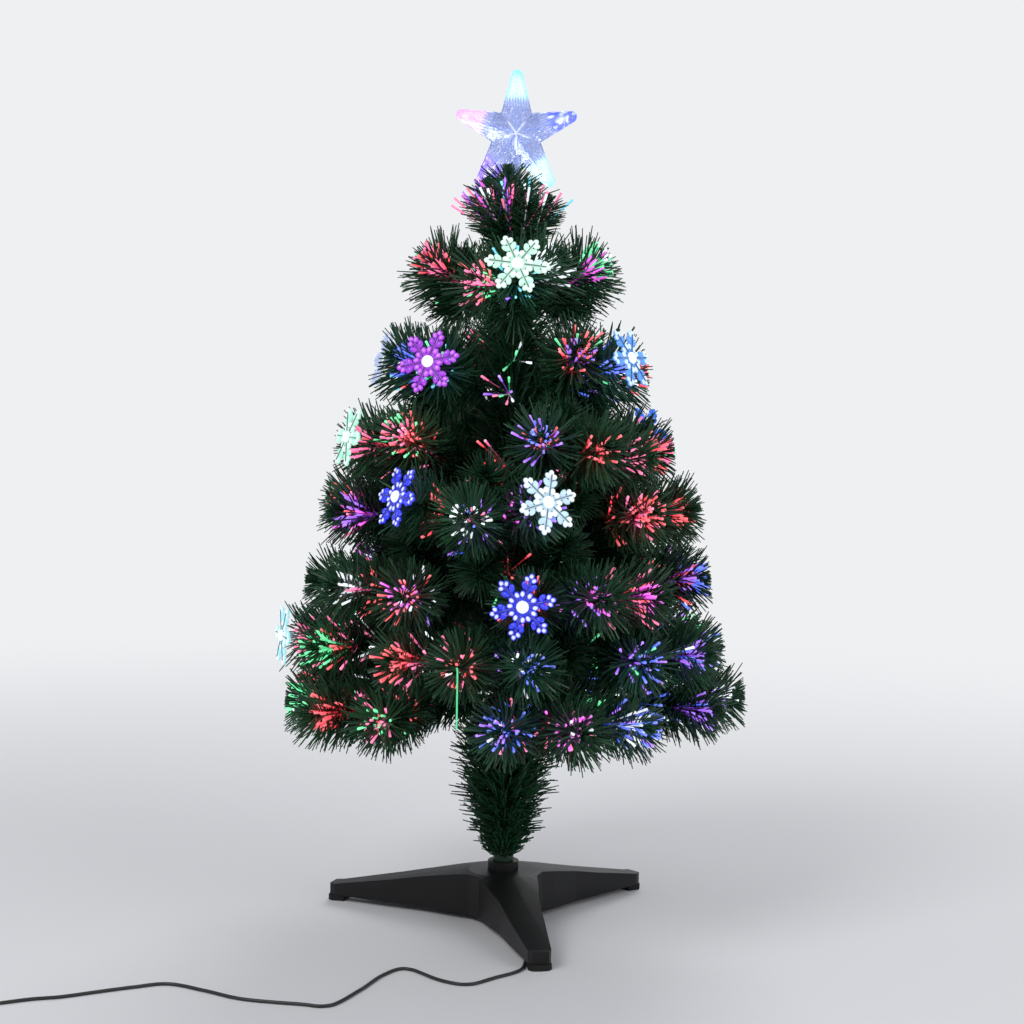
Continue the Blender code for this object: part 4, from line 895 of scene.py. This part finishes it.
feed(tree, shader, {
    "Base Color": mixed(tree, 0.50, clear, tint.outputs["Color"]), "Roughness": 0.16, "Transmission Weight": 0.62,
    "Emission Color": tint.outputs["Color"],
    "Emission Strength": maths(tree, "MULTIPLY", tint.outputs["Alpha"], facet)})
relief(tree, shader, sugar, 0.6, 0.0006)
finished("lit_star", star, star_look, "star", "star_plastic", "star_front", "star_rear")

# The base: a black moulded tripod with its cover, rubber pads and the lead's grommet, and inside it the
# lamp, its board and the foot of the fibre bundle that goes up through the green pole.


def moulded(name, dark, light, roughness, grain_scale, grain_depth, metal=0.0, glow=0.0):
    """A moulded surface: a little unevenness of colour and gloss over a fine grain."""
    look, tree, shader = node_material(name)
    cloud = pattern(tree, "ShaderNodeTexNoise", 26, {"Detail": 4}).outputs["Fac"]
    shades = tones(tree, cloud, dark, light)
    feed(tree, shader, {
        "Base Color": shades, "Roughness": spread(tree, cloud, roughness - 0.07, roughness + 0.07),
        "Metallic": metal, "Specular IOR Level": 0.5 if metal or light[0] > 0.1 else 0.32})
    relief(tree, shader, pattern(tree, "ShaderNodeTexNoise", grain_scale).outputs["Fac"], 0.4, grain_depth)
    if glow:
        feed(tree, shader, {"Emission Color": shades, "Emission Strength": glow})
    return look


def rounded(node_name, piece_name, body, slot, look, width, segments):
    """Make a piece that follows a CAD solid, with its moulded edges rounded."""
    shape = bmesh.new()
    shape.from_mesh(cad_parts[node_name].data)
    bmesh.ops.remove_doubles(shape, verts=shape.verts, dist=0.00002)
    bmesh.ops.dissolve_limit(shape, angle_limit=math.radians(1.0), verts=shape.verts, edges=shape.edges)
    sharp = [edge for edge in shape.edges if len(edge.link_faces) == 2 and edge.calc_face_angle(0) > math.radians(28)
             and edge.calc_length() > width * 2.2]
    bmesh.ops.bevel(shape, geom=sharp, offset=width, segments=segments, profile=0.5, affect="EDGES",
                    clamp_overlap=True, material=-1)
    finished(piece_name, shape, look, body, slot, node_name)


stand_look = moulded("stand_plastic_black", (0.0030, 0.0030, 0.0034), (0.0075, 0.0075, 0.0082), 0.46, 950, 0.00012)
rounded("stand", "stand_shell", "stand", "stand_plastic", stand_look, 0.0010, 2)
pad_look = moulded("pad_rubber_dark", (0.006, 0.006, 0.006), (0.016, 0.016, 0.017), 0.78, 600, 0.0003)
cover_look = moulded("cover_plastic_black", (0.006, 0.006, 0.007), (0.014, 0.014, 0.015), 0.36, 950, 0.0001)
DRESSED = (
    (("foot_pad_1", "foot_pad_2", "foot_pad_3"), pad_look),
    (("base_cover", "cord_grommet"), cover_look),
    (("control_board",), moulded("board_green", (0.004, 0.050, 0.020), (0.020, 0.120, 0.050), 0.45, 300, 0.0002)),
    (("light_module",),
     moulded("lamp_lens_white", (0.55, 0.60, 0.72), (0.82, 0.86, 0.95), 0.20, 220, 0.0002, 0.0, 0.5)),
    (("trunk_pole",), moulded("pole_green", (0.005, 0.024, 0.011), (0.012, 0.048, 0.022), 0.38, 500, 0.0001)),
    (("fibre_bundle",), moulded("fibre_clear", (0.36, 0.42, 0.50), (0.62, 0.70, 0.80), 0.16, 800, 0.0003, 0.0, 0.15)),
    (("star_leds",), moulded("lamp_harness", (0.30, 0.38, 0.70), (0.70, 0.78, 1.0), 0.30, 300, 0.0002, 0.0, 0.35)),
    (("power_adapter",),
     moulded("adapter_plastic_black", (0.007, 0.007, 0.008), (0.017, 0.017, 0.018), 0.45, 900, 0.0001)),
    (("cord_tie",), moulded("tie_black", (0.008, 0.008, 0.009), (0.020, 0.020, 0.022), 0.55, 400, 0.0002)),
    (("adapter_pin_1", "adapter_pin_2"),
     moulded("pin_nickel", (0.42, 0.42, 0.41), (0.66, 0.65, 0.62), 0.26, 700, 0.00005, 1.0)),
)
for names, look in DRESSED:
    for name in names:
        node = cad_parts[name]
        for place in node.material_slots:
            place.material = look
        if not node.material_slots:
            node.data.materials.append(look)
